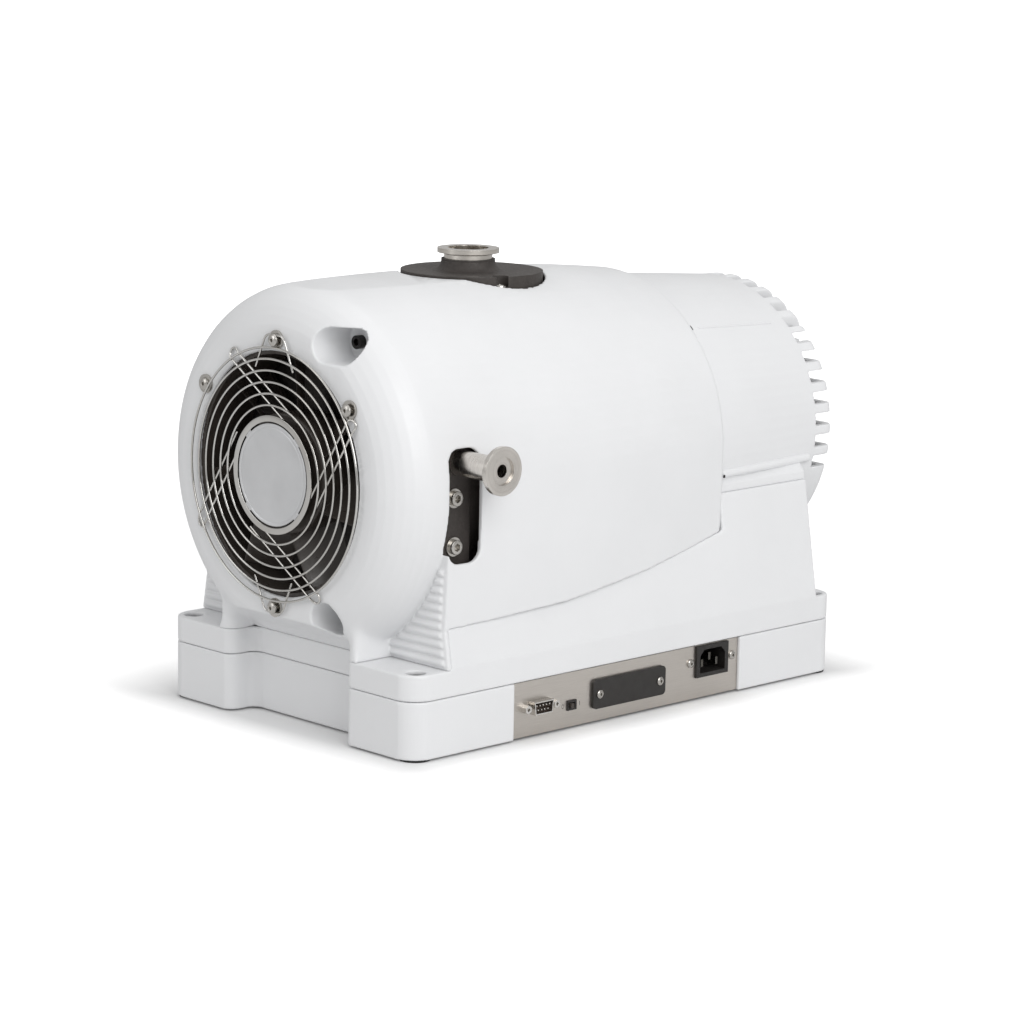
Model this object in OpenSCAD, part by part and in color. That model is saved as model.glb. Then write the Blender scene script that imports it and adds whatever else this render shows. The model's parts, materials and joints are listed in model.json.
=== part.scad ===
// Dry scroll vacuum pump, built piece by piece in millimetres.
// Origin: centre of the four mounting holes, on the floor. +Z is up, -Y is the fan end, +X is the connector side.

/* [Base] */
// Width of the base over its two long sides
base_w = 236.4; // [232:0.2:242]
// Length of the base from the front feet to the rear feet
base_l = 389.6; // [384:0.4:396]
// Height of the lower tray
tray_h = 36; // [34:0.5:40]
// Height of the foot slab that stands on the tray
slab_h = 16.5; // [14:0.5:20]
// Corner radius of the base
corner_r = 16; // [12:0.5:17]
// Width of the recess between the two feet of one end
recess_w = 110; // [100:1:120]
// Depth of that recess
recess_d = 21; // [18:0.5:23]
// Thickness of the moulded covers
wall = 3; // [2.5:0.1:3.4]
// Height of the rubber feet below the tray
foot_h = 1.5; // [1:0.5:4]
// How far the mounting holes stand in from the long sides
bolt_in_x = 11.2; // [10.7:0.1:13]
// How far the mounting holes stand in from the ends
bolt_in_y = 12.3; // [11.8:0.1:14]
// Mounting hole diameter
bolt_d = 9; // [6:0.5:11]

/* [Covers] */
// Height of the fan and crankshaft axis above the floor
axis_z = 163.5; // [162:0.5:166]
// Front face of the fan cover
nose_y = -203; // [-206:0.5:-200]
// Radius of the rounding round the fan cover's front face
nose_round = 30; // [26:0.5:32]
// Largest radius of the front cover
barrel_r = 119.5; // [118:0.5:122]
// Radius of the front cover at its rear lip
barrel_end_r = 109; // [108.5:0.25:110]
// Where the front cover ends
barrel_end_y = 88; // [86:1:92]
// Radius of the rear cover where the front cover overlaps it
tail_start_r = 105.2; // [104:0.2:105.2]
// Radius of the rear cover where its cooling slots start
tail_r = 97.3; // [95:0.2:98.4]
// Where the cooling slots start
slot_y = 192; // [188:1:196]
// Rear face of the rear cover
tail_y = 212; // [208:1:216]
// Angle from one cooling slot to the next
slot_pitch = 8.5714; // [8:0.25:10]

/* [Fan] */
// Radius of the fan opening
fan_open_r = 77; // [75:0.5:78]
// Radius of the smallest wire ring of the guard
ring_r0 = 43.4; // [42:0.2:44]
// Radial step from one wire ring to the next
ring_step = 7.16; // [7:0.04:7.3]
// Number of wire rings
ring_n = 6; // [5:1:6]
// Thickness of the guard's wire
wire_d = 1.5; // [1.4:0.1:2]
// Number of fan blades
blade_n = 7; // [5:1:9]

/* [Pump] */
// Pitch of the scroll wraps
wrap_pitch = 22; // [21.5:0.25:24]
// Thickness of a scroll wrap
wrap_t = 4.5; // [4:0.25:5]
// Height of a scroll wrap
wrap_h = 27.6; // [24:0.2:28]
// Least gap between the flanks of the two scrolls
flank_gap = 0.6; // [0.5:0.05:1]
// Radius of the scroll casing
case_r = 107; // [106:0.25:107.5]
// Bore of the inlet port
inlet_d = 25; // [20:0.5:25.5]
// Height of the inlet flange's face above the floor
inlet_z = 294.3; // [293:0.1:300]
// Where the inlet port stands along the pump
inlet_y = -42.8; // [-46:0.2:-40]
// Bore of the exhaust port
exhaust_d = 8; // [6:0.5:10]
// How far the exhaust flange's face stands out from the middle
exhaust_x = 147.6; // [144:0.2:152]

/* [Panel] */
// Front end of the connector panel
panel_y0 = -109.4; // [-114:0.2:-107]
// Rear end of the connector panel
panel_y1 = 98.3; // [96:0.1:104]
// Width of the blank plate over the option slot
blank_w = 66.5; // [60:0.5:70]
// Height of the blank plate
blank_h = 19.1; // [16:0.1:20]

/* [Hidden] */
$fn = 96;
small_fn = 40;

// Clearances and overruns
seam = 0.4;
gap = 0.3;
fit = 0.03;
cut = 1;
past = 12;

// Levels of the base
tray_z = foot_h;
bolt_x = base_w - 2 * bolt_in_x;
bolt_y = base_l - 2 * bolt_in_y;
tray_top = tray_z + tray_h;
foot_top = tray_top + slab_h;
plate_t = 4;
plate_z = tray_z + 4.5;
plate_top = plate_z + plate_t;
recess_r = 8;
foot_r = 9.5;
post_r_outer = 6;
post_x = 92;
head_hole_r = 6.5;
neck_foot_r = 6.4;

// Side walls of the pedestal, which lean in towards the top
lean_x = base_w / 2;
shoulder_z = 133;
shoulder_x = 105.2;
panel_wall_y = -166;
pedestal_end_y = 174;
crease_drop_shares = [[0, 1], [0.19, 0.932], [0.4, 0.855], [0.697, 0.52], [0.85, 0.27], [1, 0]];
crease_low_z = 79;
crease_high_z = 108.5;
pillar_x = 66;
rib_pitch = 5.6;
rib_h = 2.8;
rib_out = 1.8;
rib_n = 11;
rib_margin = 3;

// Barrel of the covers
barrel_peak_y = -90;
barrel_bow = (barrel_r - barrel_end_r) / pow(barrel_end_y - barrel_peak_y, 2);
side_r = 1200;
side_turn = 4.4;
crown_z = 278.5;
barrel_steps = 12;
round_steps = 8;
lip = 3;
underside = [[0, 74], [12, 68], [22, 61.5]];
scoop_reach = 14;
scoop_r = 11;
scoop_x = 43.5;
scoop_up = 85;
scoop_floor_y = -172;
scoop_screw_r = 2.6;
cover_screw_y = -147;
inlet_hole_r = 47.5;
inlet_hole_y = -39.5;
exhaust_y = -150.5;
exhaust_z = 180;
vent_w = 26;
vent_h = 71;
vent_r = 9;
vent_y = -153;
vent_z = 154.5;

// Rear cover
tail_lap = 8;
tail_round = 9;
rim_wall = 6;
slot_side_n = 12;
slot_top_n = 5;
slot_w = 8.5;
slot_depth = 26;
bead_x = 103.4;
bead_z = 138.5;
bead_root_x = 97;
bead_top_z = 146;
tail_disc_r = 64;
tail_disc_d = 1.2;

// Fan guard
washer_t = 1.5;
strut_y = nose_y - washer_t - wire_d / 2;
guard_y = strut_y - wire_d * 0.75;
guard_ring_r = 35.2;
guard_ring_w = 4;
guard_ring_t = 1.4;
disc_r = 32.2;
disc_t = 1.2;
tab_gap = 0.16;
strut_d1 = 34.7;
strut_d2 = 42;
strut_tip_r = 83;
strut_angles = [28.5, 118.5, 208.5, 298.5];
strut_turn = -151.3;
guard_screw_places = [[90, wire_d], [35.5, wire_d], [144.5, 0], [270, wire_d]];
guard_screw_circle = 84;
washer_r = 6;
guard_screw_r = 2;
guard_head_r = 3.9;
guard_head_h = 2.4;
clip_half_w = 17.5;
clip_root = 66;
clip_top = guard_screw_circle + guard_screw_r + wire_d / 2 + gap;
clip_half_top = 8;
cross_past = 1.2;
cross_share = 0.985;
cross_r = wire_d * 0.45;

// Fan
fan_frame_r = 81;
fan_bore_r = 74.5;
fan_end_y = -163.5;
fan_hub_r = 38;
fan_cup_wall = 2.6;
fan_stator_r = 34.6;
fan_shaft_r = 3;
blade_tip_gap = 1.5;
blade_t = 2;
blade_lean = 38;
fan_front_y = -197;

// Scroll set
base_circle = wrap_pitch / (2 * PI);
orbit = wrap_pitch / 2 - wrap_t - flank_gap;
wrap_start = 200;
wrap_end = 1270;
wrap_step = 7.5;
wrap_open = 90 / PI * wrap_t / base_circle;
seal_share = 0.45;
fixed_floor_y = -140;
fixed_front_y = -158;
case_bore_r = case_r - 7.5;
case_split_y = -108;
orbit_floor_y = fixed_floor_y + wrap_h + 2 * gap;
orbit_plate_t = 10;
orbit_back_y = orbit_floor_y + orbit_plate_t;
orbit_plate_r = case_bore_r - 7.5;
hub_r = 30;
hub_l = 20;
idler_boss_l = 16;
seal_w = 1.5;
case_seal_r = case_bore_r + 1.25;
seal_h = 1.2;
block_x0 = case_r - 19;
block_x = case_r + 0.5;
block_y0 = -162.5;
block_y1 = -140;
block_z0 = 117;
block_z1 = 194;
gas_r = exhaust_d / 2 - 0.5;
exhaust_tube_r = 8;
exhaust_flange_r = 15;
exhaust_cone = 1.6;
exhaust_head_r = 4.6;
exhaust_screw_y = -154;
exhaust_screw_zs = [158.5, 128.5];

// Pump housing
housing_end_y = -20;
web_y0 = -72;
web_y1 = -54;
port_disc_r = 46;
port_disc_y = -39.5;
port_disc_z = 280;
port_disc_t = 9;
port_rib_x = 27.6;
port_rib_y = -62;
passage_angles = [0, 120, 240];
passage_r = 12;
neck_r = 17.4;
neck_z = 287.4;
flange_r = 20;
flange_t = 3;
flange_neck_r = 15.6;
insert_l = 18;
case_screw_r = 2;
case_head_r = 4.2;
case_head_h = 5;
case_screw_circle = case_r - 3.1;
case_screw_angles = [45, 90, 135, 225, 270, 315];
port_screw_x = 40.2;
port_screw_y = -52.6;
port_head_z = 273;
port_screw_z = 259;
port_well_r = 5.4;
case_boss_r = 3.6;
flange_cone = 1;

// Shaft line
pin_r = 10;
journal_r = 15;
shaft_r = 14;
tail_journal_r = 10;
pin_y0 = -98;
web_disc_y0 = -81;
web_disc_t = 5;
crank_disc_r = 17;
crank_ring_t = 4;
crank_bearing_r = 21;
crank_bearing_w = 13;
front_bearing_r = 31;
front_bearing_w = 16;
front_bearing_y = web_y0 + 1;
rear_bearing_r = 23.5;
rear_bearing_w = 14;
rear_bearing_y = 118;
weight_r = 58;
weight_inner_r = 18;
weight_turn = 150;
race_t = 4;

// Idler cranks
idler_circle = 75;
idler_angles = [90, 330, 210];
idler_pin_r = 5.5;
idler_disc_r = 12.5;
idler_disc_t = 4.5;
idler_boss_r = 12;
idler_gap = 0.06;
idler_disc_y = web_y0 - idler_disc_t - gap;
bush_t = 2.5;
bush_l = 13;

// Motor
motor_r = 74;
motor_fin_r = 84;
motor_fin_n = 24;
motor_fin_t = 2.5;
motor_bore_r = 68;
motor_end_y = 112;
motor_front_t = 5;
stator_bore_r = 38;
stator_y0 = 14;
stator_y1 = 94;
stator_slot_n = 18;
stator_slot_w = 5;
stator_slot_r0 = 41;
stator_slot_r1 = 58;
rotor_gap = 1;
winding_r0 = 42;
winding_r1 = 60;
winding_l = 15;
bell_t = 6;

// Supports
cradle_x = 64;
cradle_t = 10;
cradle_l = 36;
cradle_y_front = -64;
cradle_y_rear = 66;
isolator_r = 12;
isolator_h = 6;
isolator_x = 50;

// Connector panel
panel_out_x = base_w / 2 - 2;
panel_t = 1.5;
panel_flange = 12;
board_x = 92;
board_t = 1.6;
board_h = 24;
board_z = plate_top + 3;
post_r = 2.5;
board_posts = [-99, -8, 43.5];
dsub_y = -86.7;
dsub_z = 19.9;
dsub_w = 16.9;
dsub_h = 8.4;
dsub_out = 5.6;
dsub_t = 0.8;
dsub_flange_w = 31;
dsub_flange_h = 12.4;
dsub_pin_r = 0.5;
dsub_pin_step = 2.77;
dsub_row = 2.84;
jack_pitch = 25;
jack_r = 2.9;
jack_bore_r = 1.3;
jack_flange_t = 1;
switch_y = -57.4;
switch_z = 15.8;
switch_w = 8;
switch_h = 6.4;
switch_depth = 7;
switch_out = 1;
slider_w = 2.6;
slider_h = 3;
slider_out = 1.6;
switch_travel = 2.4;
blank_y = -6.2;
blank_z = 19.5;
blank_t = 2;
blank_r = 3;
blank_screw_pitch = 55.4;
power_y = 72.2;
power_z = 26;
power_w = 30.5;
power_h = 21;
power_depth = 20;
power_out = 1.6;
socket_w = 24;
socket_h = 15.6;
socket_d = 16;
blade_w = 2;
blade_h = 5;
blade_pitch = 7;
blade_drop = 4;
blade_l = 13;
power_screw_pitch = 40;
power_ear_w = 48;
panel_screw_r = 3;
panel_head_h = 1.8;

// Colours, as the photograph shows them
white = [0.93, 0.93, 0.94];
dark = [0.2, 0.18, 0.17];
steel = [0.72, 0.71, 0.69];
bright = [0.82, 0.82, 0.82];
black = [0.08, 0.08, 0.08];
alloy = [0.6, 0.6, 0.62];
rubber = [0.12, 0.12, 0.12];
copper = [0.72, 0.42, 0.22];
green = [0.1, 0.35, 0.2];
seal_white = [0.88, 0.86, 0.78];

// A cylinder along Y, X or Z, and a round wire between two points
module y_cyl(y0, y1, r, x = 0, z = axis_z) translate([x, y0, z]) rotate([-90, 0, 0]) cylinder(h = y1 - y0, r = r);
module x_cyl(x0, x1, r, y, z) translate([x0, y, z]) rotate([0, 90, 0]) cylinder(h = x1 - x0, r = r);
module z_cyl(z0, z1, r, x, y) translate([x, y, z0]) cylinder(h = z1 - z0, r = r);
module y_tube(y0, y1, ro, ri, x = 0, z = axis_z) difference() {
    y_cyl(y0, y1, ro, x, z);
    y_cyl(y0 - cut, y1 + cut, ri, x, z);
}
module wire(p, q, r) {
    d = q - p;
    translate(p) rotate([0, acos(d[2] / norm(d)), atan2(d[1], d[0])]) cylinder(h = norm(d), r = r, $fn = small_fn);
}

// An outline in X and Z pulled along Y, and one in Y and Z pulled along X
module along_y(y0, y1) translate([0, y1, 0]) rotate([90, 0, 0]) linear_extrude(y1 - y0) children();
module along_x(x0, x1) translate([x0, 0, 0]) rotate([90, 0, 90]) linear_extrude(x1 - x0) children();

// Points [radius, y] turned round the pump's axis: all of it, the upper half, or one leaning side wall
module turned(points) translate([0, 0, axis_z]) rotate([-90, 0, 0]) rotate_extrude() polygon(points);
module turned_part(points, turn, centre_turn) translate([0, 0, axis_z]) rotate([-90, 0, 0])
    rotate([0, 0, centre_turn - turn / 2]) rotate_extrude(angle = turn) polygon(points);
module side_wall(points) translate([barrel_r - side_r, 0, axis_z]) rotate([-90, 0, 0]) rotate_extrude(angle = side_turn)
    polygon([for (p = points) [p[0] + side_r - barrel_r, p[1]]]);
module both_sides() {
    children();
    mirror([1, 0, 0]) children();
}

// A rectangle with true round corners
module round_rect(w, l, r) union() {
    square([w - 2 * r, l], center = true);
    square([w, l - 2 * r], center = true);
    for (x = [-1, 1], y = [-1, 1]) translate([x * (w / 2 - r), y * (l / 2 - r)]) circle(r);
}

// Outline of the base, drawn in by a distance: four feet with a rounded recess at each end
module notch(inset) {
    w = recess_w + 2 * inset;
    r_in = recess_r + inset;
    r_out = recess_r - inset;
    translate([0, -base_l / 2]) union() {
        round_rect(w, 2 * (recess_d + inset), r_in);
        translate([-w / 2, -past]) square([w, past + inset + cut]);
        both_sides() translate([w / 2, inset]) difference() {
            translate([-cut, -cut]) square([r_out + cut, r_out + cut]);
            translate([r_out, r_out]) circle(r_out);
        }
    }
}
module base_outline(inset) difference() {
    round_rect(base_w - 2 * inset, base_l - 2 * inset, corner_r - inset);
    notch(inset);
    mirror([0, 1, 0]) notch(inset);
}
module at_bolts() for (x = [-1, 1], y = [-1, 1]) translate([x * bolt_x / 2, y * bolt_y / 2, 0]) children();

// Radius of the front cover along the pump, and the wall's outline drawn in by a distance
function barrel_at(y) = barrel_r - barrel_bow * pow(y - barrel_peak_y, 2);
nose_end_y = nose_y + nose_round;
nose_centre_r = barrel_at(nose_end_y) - nose_round;
function nose_points(inset) = [for (i = [0:round_steps]) let (a = 90 * i / round_steps)
    [nose_centre_r + (nose_round - inset) * sin(a), nose_end_y - (nose_round - inset) * cos(a)]];
function barrel_points(inset, y0, y1, from = 0) =
    [for (i = [from:barrel_steps]) let (y = y0 + (y1 - y0) * i / barrel_steps) [barrel_at(y) - inset, y]];
function reversed(v) = [for (i = [len(v) - 1:-1:0]) v[i]];
module nose_solid(inset) turned(concat([[0, nose_y + inset]], nose_points(inset),
    [[barrel_at(panel_wall_y + wall) - inset, panel_wall_y + wall], [0, panel_wall_y + wall]]));

// Crease between the barrel and the pedestal, as [y, z]
function crease(rise) = [for (s = crease_drop_shares)
    [panel_wall_y + wall + s[0] * (barrel_end_y - panel_wall_y - wall),
     crease_high_z - s[1] * (crease_high_z - crease_low_z) + rise]];

// Casings
module base_tray() color(white) difference() {
    translate([0, 0, tray_z]) linear_extrude(tray_h) difference() {
        base_outline(0);
        base_outline(wall);
    }
    translate([base_w / 2 - 2 * wall, panel_y0, tray_z - cut]) cube([past, panel_y1 - panel_y0, tray_h + 2 * cut]);
}

module chassis_plate() color(steel) difference() {
    translate([0, 0, plate_z]) linear_extrude(plate_t) base_outline(wall + gap);
    translate([panel_out_x - panel_t - gap, panel_y0 - gap, plate_z - cut])
        cube([past, panel_y1 - panel_y0 + 2 * gap, plate_t + 2 * cut]);
    at_bolts() cylinder(h = plate_top + cut, d = bolt_d);
}

module rubber_feet() color(rubber) at_bolts() difference() {
    union() {
        cylinder(h = tray_z, r = foot_r);
        cylinder(h = plate_z, r = neck_foot_r);
    }
    translate([0, 0, -cut]) cylinder(h = plate_z + 2 * cut, d = bolt_d);
}

module cover_posts() color(steel) for (x = [-1, 1], y = [-1, 1]) translate([x * post_x, y * bolt_y / 2, plate_top]) difference() {
    cylinder(h = foot_top - wall - plate_top, r = post_r_outer, $fn = small_fn);
    translate([0, 0, past]) cylinder(h = foot_top, r = post_r_outer / 2, $fn = small_fn);
}

function lean_at(z) = lean_x - (lean_x - shoulder_x) * max(0, z - foot_top) / (shoulder_z - foot_top);

module pedestal_cover() color(white) difference() {
    union() {
        // Foot slab, closed on top at both ends
        translate([0, 0, tray_top + seam]) linear_extrude(slab_h - seam) difference() {
            base_outline(0);
            base_outline(wall);
        }
        translate([0, 0, foot_top - wall]) linear_extrude(wall) difference() {
            base_outline(0);
            square([base_w, 2 * (-panel_wall_y - wall)], center = true);
            translate([0, -base_l / 2]) square([2 * (pillar_x - wall), base_l], center = true);
        }
        // Leaning side walls with the shoulder on top
        both_sides() along_y(panel_wall_y + wall + seam, pedestal_end_y) polygon([
            [lean_x - wall, foot_top - wall], [lean_x, foot_top - wall], [lean_x, foot_top],
            [shoulder_x, shoulder_z], [shoulder_x - past - wall, shoulder_z],
            [shoulder_x - past - wall, shoulder_z - wall], [lean_at(shoulder_z - wall) - wall, shoulder_z - wall],
            [lean_at(foot_top) - wall, foot_top]]);
        // Rear wall, open round the rear cover
        along_y(pedestal_end_y - wall, pedestal_end_y) polygon([[-lean_x, foot_top - wall], [lean_x, foot_top - wall],
            [lean_x, foot_top], [shoulder_x, shoulder_z], [-shoulder_x, shoulder_z], [-lean_x, foot_top]]);
    }
    // Room for the front cover down to the crease, and for the rear cover
    along_x(-base_w, base_w) polygon(concat([[panel_wall_y - cut, base_w]], [[panel_wall_y - cut, crease_low_z]],
        crease(0), [[barrel_end_y + seam, crease_high_z]], [[barrel_end_y + seam, base_w]]));
    turned([[0, barrel_end_y - past], [tail_start_r + seam, barrel_end_y - past], [tail_start_r + seam, barrel_end_y],
        [tail_r + seam, slot_y], [0, slot_y]]);
    at_bolts() cylinder(h = foot_top + cut, r = head_hole_r, $fn = small_fn);
}

// The ribbed wall beside the fan housing, drawn in X and Z
module ribbed_outline(inset) difference() {
    polygon([[-lean_x + inset, foot_top + seam], [lean_x - inset, foot_top + seam], [lean_at(crease_low_z) - inset, crease_low_z],
        [barrel_at(panel_wall_y) - inset, axis_z], [-barrel_at(panel_wall_y) + inset, axis_z],
        [-lean_at(crease_low_z) + inset, crease_low_z]]);
    translate([0, axis_z]) circle(barrel_at(panel_wall_y) - wall);
    translate([0, foot_top]) square([2 * (pillar_x - wall), 2 * (pillar_x - wall)], center = true);
}
module ribs() along_y(panel_wall_y - rib_out, panel_wall_y) difference() {
    intersection() {
        ribbed_outline(rib_margin);
        for (i = [0:rib_n - 1]) translate([-base_w / 2, foot_top + rib_margin + i * rib_pitch]) square([base_w, rib_h]);
    }
    translate([0, axis_z]) circle(barrel_at(panel_wall_y) + rib_out);
    translate([0, foot_top]) square([2 * pillar_x + rib_out, 2 * pillar_x], center = true);
}
module pillars() translate([0, 0, foot_top + seam]) linear_extrude(scoop_up / 2) difference() {
    intersection() {
        base_outline(0);
        translate([-pillar_x, -base_l / 2]) square([2 * pillar_x, base_l / 2 + panel_wall_y + wall]);
    }
    intersection() {
        base_outline(wall);
        translate([wall - pillar_x, -base_l / 2]) square([2 * (pillar_x - wall), base_l / 2]);
    }
}
module at_scoops() for (z = [-1, 1]) translate([scoop_x, 0, z * scoop_up]) children();

// The upper scoop runs out sideways, the lower one is round
module scoop(z, y0, y1, grow) {
    if (z > 0) along_y(y0, y1) translate([scoop_x + scoop_reach / 2, axis_z + scoop_up])
        round_rect(2 * (scoop_r + grow) + scoop_reach, 2 * (scoop_r + grow), scoop_r + grow - fit);
    else y_cyl(y0, y1, scoop_r + grow, scoop_x, axis_z - scoop_up);
}
module scoops(sides) for (z = sides) {
    scoop(z, nose_y - cut, scoop_floor_y, 0);
    y_cyl(nose_y, scoop_floor_y + past, scoop_screw_r, scoop_x, axis_z + z * scoop_up);
}
// Slope under the fan's front, from the recess wall up to the front face, as [y, z]
recess_y = recess_d - base_l / 2;
function underside_line(rise) = [for (p = underside) [nose_y + p[0], p[1] + rise]];
module cover_walls() union() {
    // Upper half, and the flat crown's underside
    turned_part(concat([[fan_open_r, nose_y]], nose_points(0), barrel_points(0, nose_end_y, barrel_end_y - lip, 1),
        [[barrel_at(barrel_end_y) - lip / 2, barrel_end_y], [barrel_at(barrel_end_y) - wall, barrel_end_y]],
        reversed(barrel_points(wall, nose_end_y, barrel_end_y - lip, 1)), reversed(nose_points(wall)),
        [[fan_open_r, nose_y + wall]]), 180, 270);
    intersection() {
        turned_part(concat([[0, nose_y + wall / 2]], nose_points(wall / 2), barrel_points(wall / 2, nose_end_y, barrel_end_y - lip, 1),
            [[0, barrel_end_y - lip]]), 180, 270);
        translate([-case_r / 2, nose_y - past, crown_z - wall]) cube([case_r, 2 * base_l, wall]);
    }
    difference() {
        both_sides() side_wall(concat(barrel_points(0, panel_wall_y, barrel_end_y - lip),
            [[barrel_at(barrel_end_y) - lip / 2, barrel_end_y], [barrel_at(barrel_end_y) - wall, barrel_end_y]],
            reversed(barrel_points(wall, panel_wall_y, barrel_end_y - lip))));
        along_x(-base_w, base_w) polygon(concat([[panel_wall_y - cut, 0], [panel_wall_y - cut, crease_low_z + seam]],
            crease(seam), [[barrel_end_y + cut, crease_high_z + seam], [barrel_end_y + cut, 0]]));
    }
    turned_part(concat([[fan_open_r, nose_y]], nose_points(0), [[barrel_at(panel_wall_y + wall), panel_wall_y + wall],
        [barrel_at(panel_wall_y + wall) - wall, panel_wall_y + wall]], reversed(nose_points(wall)),
        [[fan_open_r, nose_y + wall]]), 180, 90);
    along_y(panel_wall_y, panel_wall_y + wall) ribbed_outline(0);
    ribs();
    // Roof of the recess between the feet, and the four deep scoops for the cover's screws
    intersection() {
        nose_solid(0);
        union() {
            along_x(-recess_w / 2 - wall, recess_w / 2 + wall) polygon(concat(underside_line(-cut),
                [[recess_y, foot_top], [recess_y + wall, foot_top], [recess_y + wall, foot_top + seam + wall]],
                reversed(underside_line(wall + cut))));
            for (z = [-1, 1]) scoop(z, nose_y, scoop_floor_y + wall, wall);
        }
    }
}

module cover_body() difference() {
    union() {
        difference() {
            cover_walls();
            scoops([-1, 1]);
        }
        difference() {
            pillars();
            nose_solid(wall);
            scoops([-1]);
        }
    }
    translate([-base_w, nose_y - past, crown_z]) cube([2 * base_w, 2 * base_l, 2 * past]);
}

// Everything below the seam, and the recess between the feet
module below_seam() {
    translate([-base_w, nose_y - past, 0]) cube([2 * base_w, base_l, foot_top + seam]);
    along_x(-recess_w / 2, recess_w / 2) polygon(concat([[nose_y - past, 0], [nose_y - past, underside[0][1]]],
        underside_line(0), [[recess_y, foot_top + seam], [recess_y, 0]]));
}
module fan_holes() {
    y_cyl(nose_y - cut, nose_y + wall + cut, fan_open_r);
    at_guard_screws() y_cyl(nose_y - cut, nose_y + wall + cut, guard_screw_r + fit);
}
module port_hole() z_cyl(axis_z, inlet_z, inlet_hole_r, 0, inlet_hole_y);
// Slots for the exhaust, one on each side
module vents() both_sides() along_x(barrel_r - 3 * past, barrel_r + past) translate([vent_y, vent_z]) round_rect(vent_w, vent_h, vent_r);

module front_cover() color(white) difference() {
    difference() {
        difference() {
            cover_body();
            port_hole();
        }
        vents();
    }
    below_seam();
    fan_holes();
}

function tail_rim(inset) = [for (i = [0:round_steps]) let (a = 90 * i / round_steps)
    [tail_r - tail_round + (tail_round - inset) * cos(a), tail_y - tail_round + (tail_round - inset) * sin(a)]];

// A slot through the rear rim: the upper ones are cut straight down, the others straight in from the side
module tail_slot(k) {
    a = k * slot_pitch;
    s = abs(k) <= slot_top_n ? cos(a) : abs(sin(a));
    w = slot_w * s;
    x = tail_r * sin(a);
    z = axis_z + tail_r * cos(a);
    if (abs(k) <= slot_top_n)
        translate([x - w / 2, slot_y, z - slot_depth]) cube([w, tail_y, slot_depth + past]);
    else
        translate([k > 0 ? x - slot_depth : x - past, slot_y, z - w / 2]) cube([slot_depth + past, tail_y, w]);
}

module rear_cover() color(white) difference() {
    union() {
        difference() {
            turned(concat([[tail_start_r, barrel_end_y - tail_lap], [tail_start_r, barrel_end_y], [tail_r, slot_y]],
                tail_rim(0), [[0, tail_y], [0, tail_y - rim_wall]], reversed(tail_rim(rim_wall)),
                [[tail_r - rim_wall, slot_y - past], [tail_start_r - wall, barrel_end_y],
                 [tail_start_r - wall, barrel_end_y - tail_lap]]));
            // Open below the shoulder, and closed all round behind the pedestal
            translate([-base_w / 2, barrel_end_y - 2 * tail_lap, 0])
                cube([base_w, pedestal_end_y + seam - barrel_end_y + 2 * tail_lap, shoulder_z]);
        }
        // Bead above the shoulder
        difference() {
            both_sides() along_y(barrel_end_y + seam, pedestal_end_y + seam) polygon([[bead_root_x - past, shoulder_z],
                [bead_x, shoulder_z], [bead_x, bead_z], [bead_root_x, bead_top_z], [bead_root_x - past, bead_top_z]]);
            y_cyl(barrel_end_y, pedestal_end_y + past, tail_r - rim_wall / 2);
        }
    }
    for (k = [-slot_side_n:slot_side_n]) tail_slot(k);
    y_tube(tail_y - tail_disc_d, tail_y + cut, tail_disc_r + tail_disc_d, tail_disc_r - tail_disc_d);
}

module cover_screws() color(steel) at_scoops() difference() {
    union() {
        y_cyl(scoop_floor_y - case_head_h, scoop_floor_y, case_head_r);
        y_cyl(scoop_floor_y, cover_screw_y - cut, scoop_screw_r - 2 * fit);
    }
    translate([0, scoop_floor_y - case_head_h - cut, axis_z]) rotate([-90, 0, 0]) cylinder(h = wall + cut, r = scoop_screw_r, $fn = 6);
}

// Fan guard: rings in one plane and bent wires just behind them
function polar(r, a) = [r * cos(a), 0, r * sin(a)];
module guard_loop(a) {
    u = a + strut_turn;
    n = u + 90;
    reach = sqrt(strut_tip_r * strut_tip_r - strut_d1 * strut_d1);
    tip = -polar(reach, u);
    for (d = [strut_d1, strut_d2]) wire(polar(d, n), polar(d, n) + tip, wire_d / 2);
    wire(polar(strut_d1 - cross_past, n) + tip * cross_share, polar(strut_d2 + cross_past, n) + tip * cross_share, cross_r);
}
module guard_clip(s) {
    for (x = [-1, 1]) wire([x * clip_half_w, 0, s * clip_root], [x * clip_half_top, 0, s * clip_top], cross_r);
    wire([-clip_half_top - cross_past, 0, s * clip_top], [clip_half_top + cross_past, 0, s * clip_top], wire_d / 2);
}
module fan_guard() color(bright) union() {
    for (i = [0:ring_n - 1]) translate([0, guard_y, axis_z]) rotate([90, 0, 0]) rotate_extrude()
        translate([ring_r0 + i * ring_step, 0]) circle(wire_d / 2, $fn = small_fn);
    y_tube(guard_y - guard_ring_t / 2, guard_y + guard_ring_t / 2, guard_ring_r + guard_ring_w / 2, guard_ring_r - guard_ring_w / 2);
    translate([0, strut_y, axis_z]) {
        for (a = strut_angles) guard_loop(a);
        for (s = [-1, 1]) guard_clip(s);
    }
}

module guard_disc() color(alloy) union() {
    y_cyl(guard_y - disc_t / 2, guard_y + disc_t / 2, disc_r);
    for (a = [45:90:315]) translate([0, 0, axis_z]) rotate([0, a, 0])
        translate([-wall, guard_y - disc_t / 2, disc_r - wall]) cube([2 * wall, disc_t, guard_ring_r - guard_ring_w / 2 - disc_r + wall - tab_gap]);
}

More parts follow.
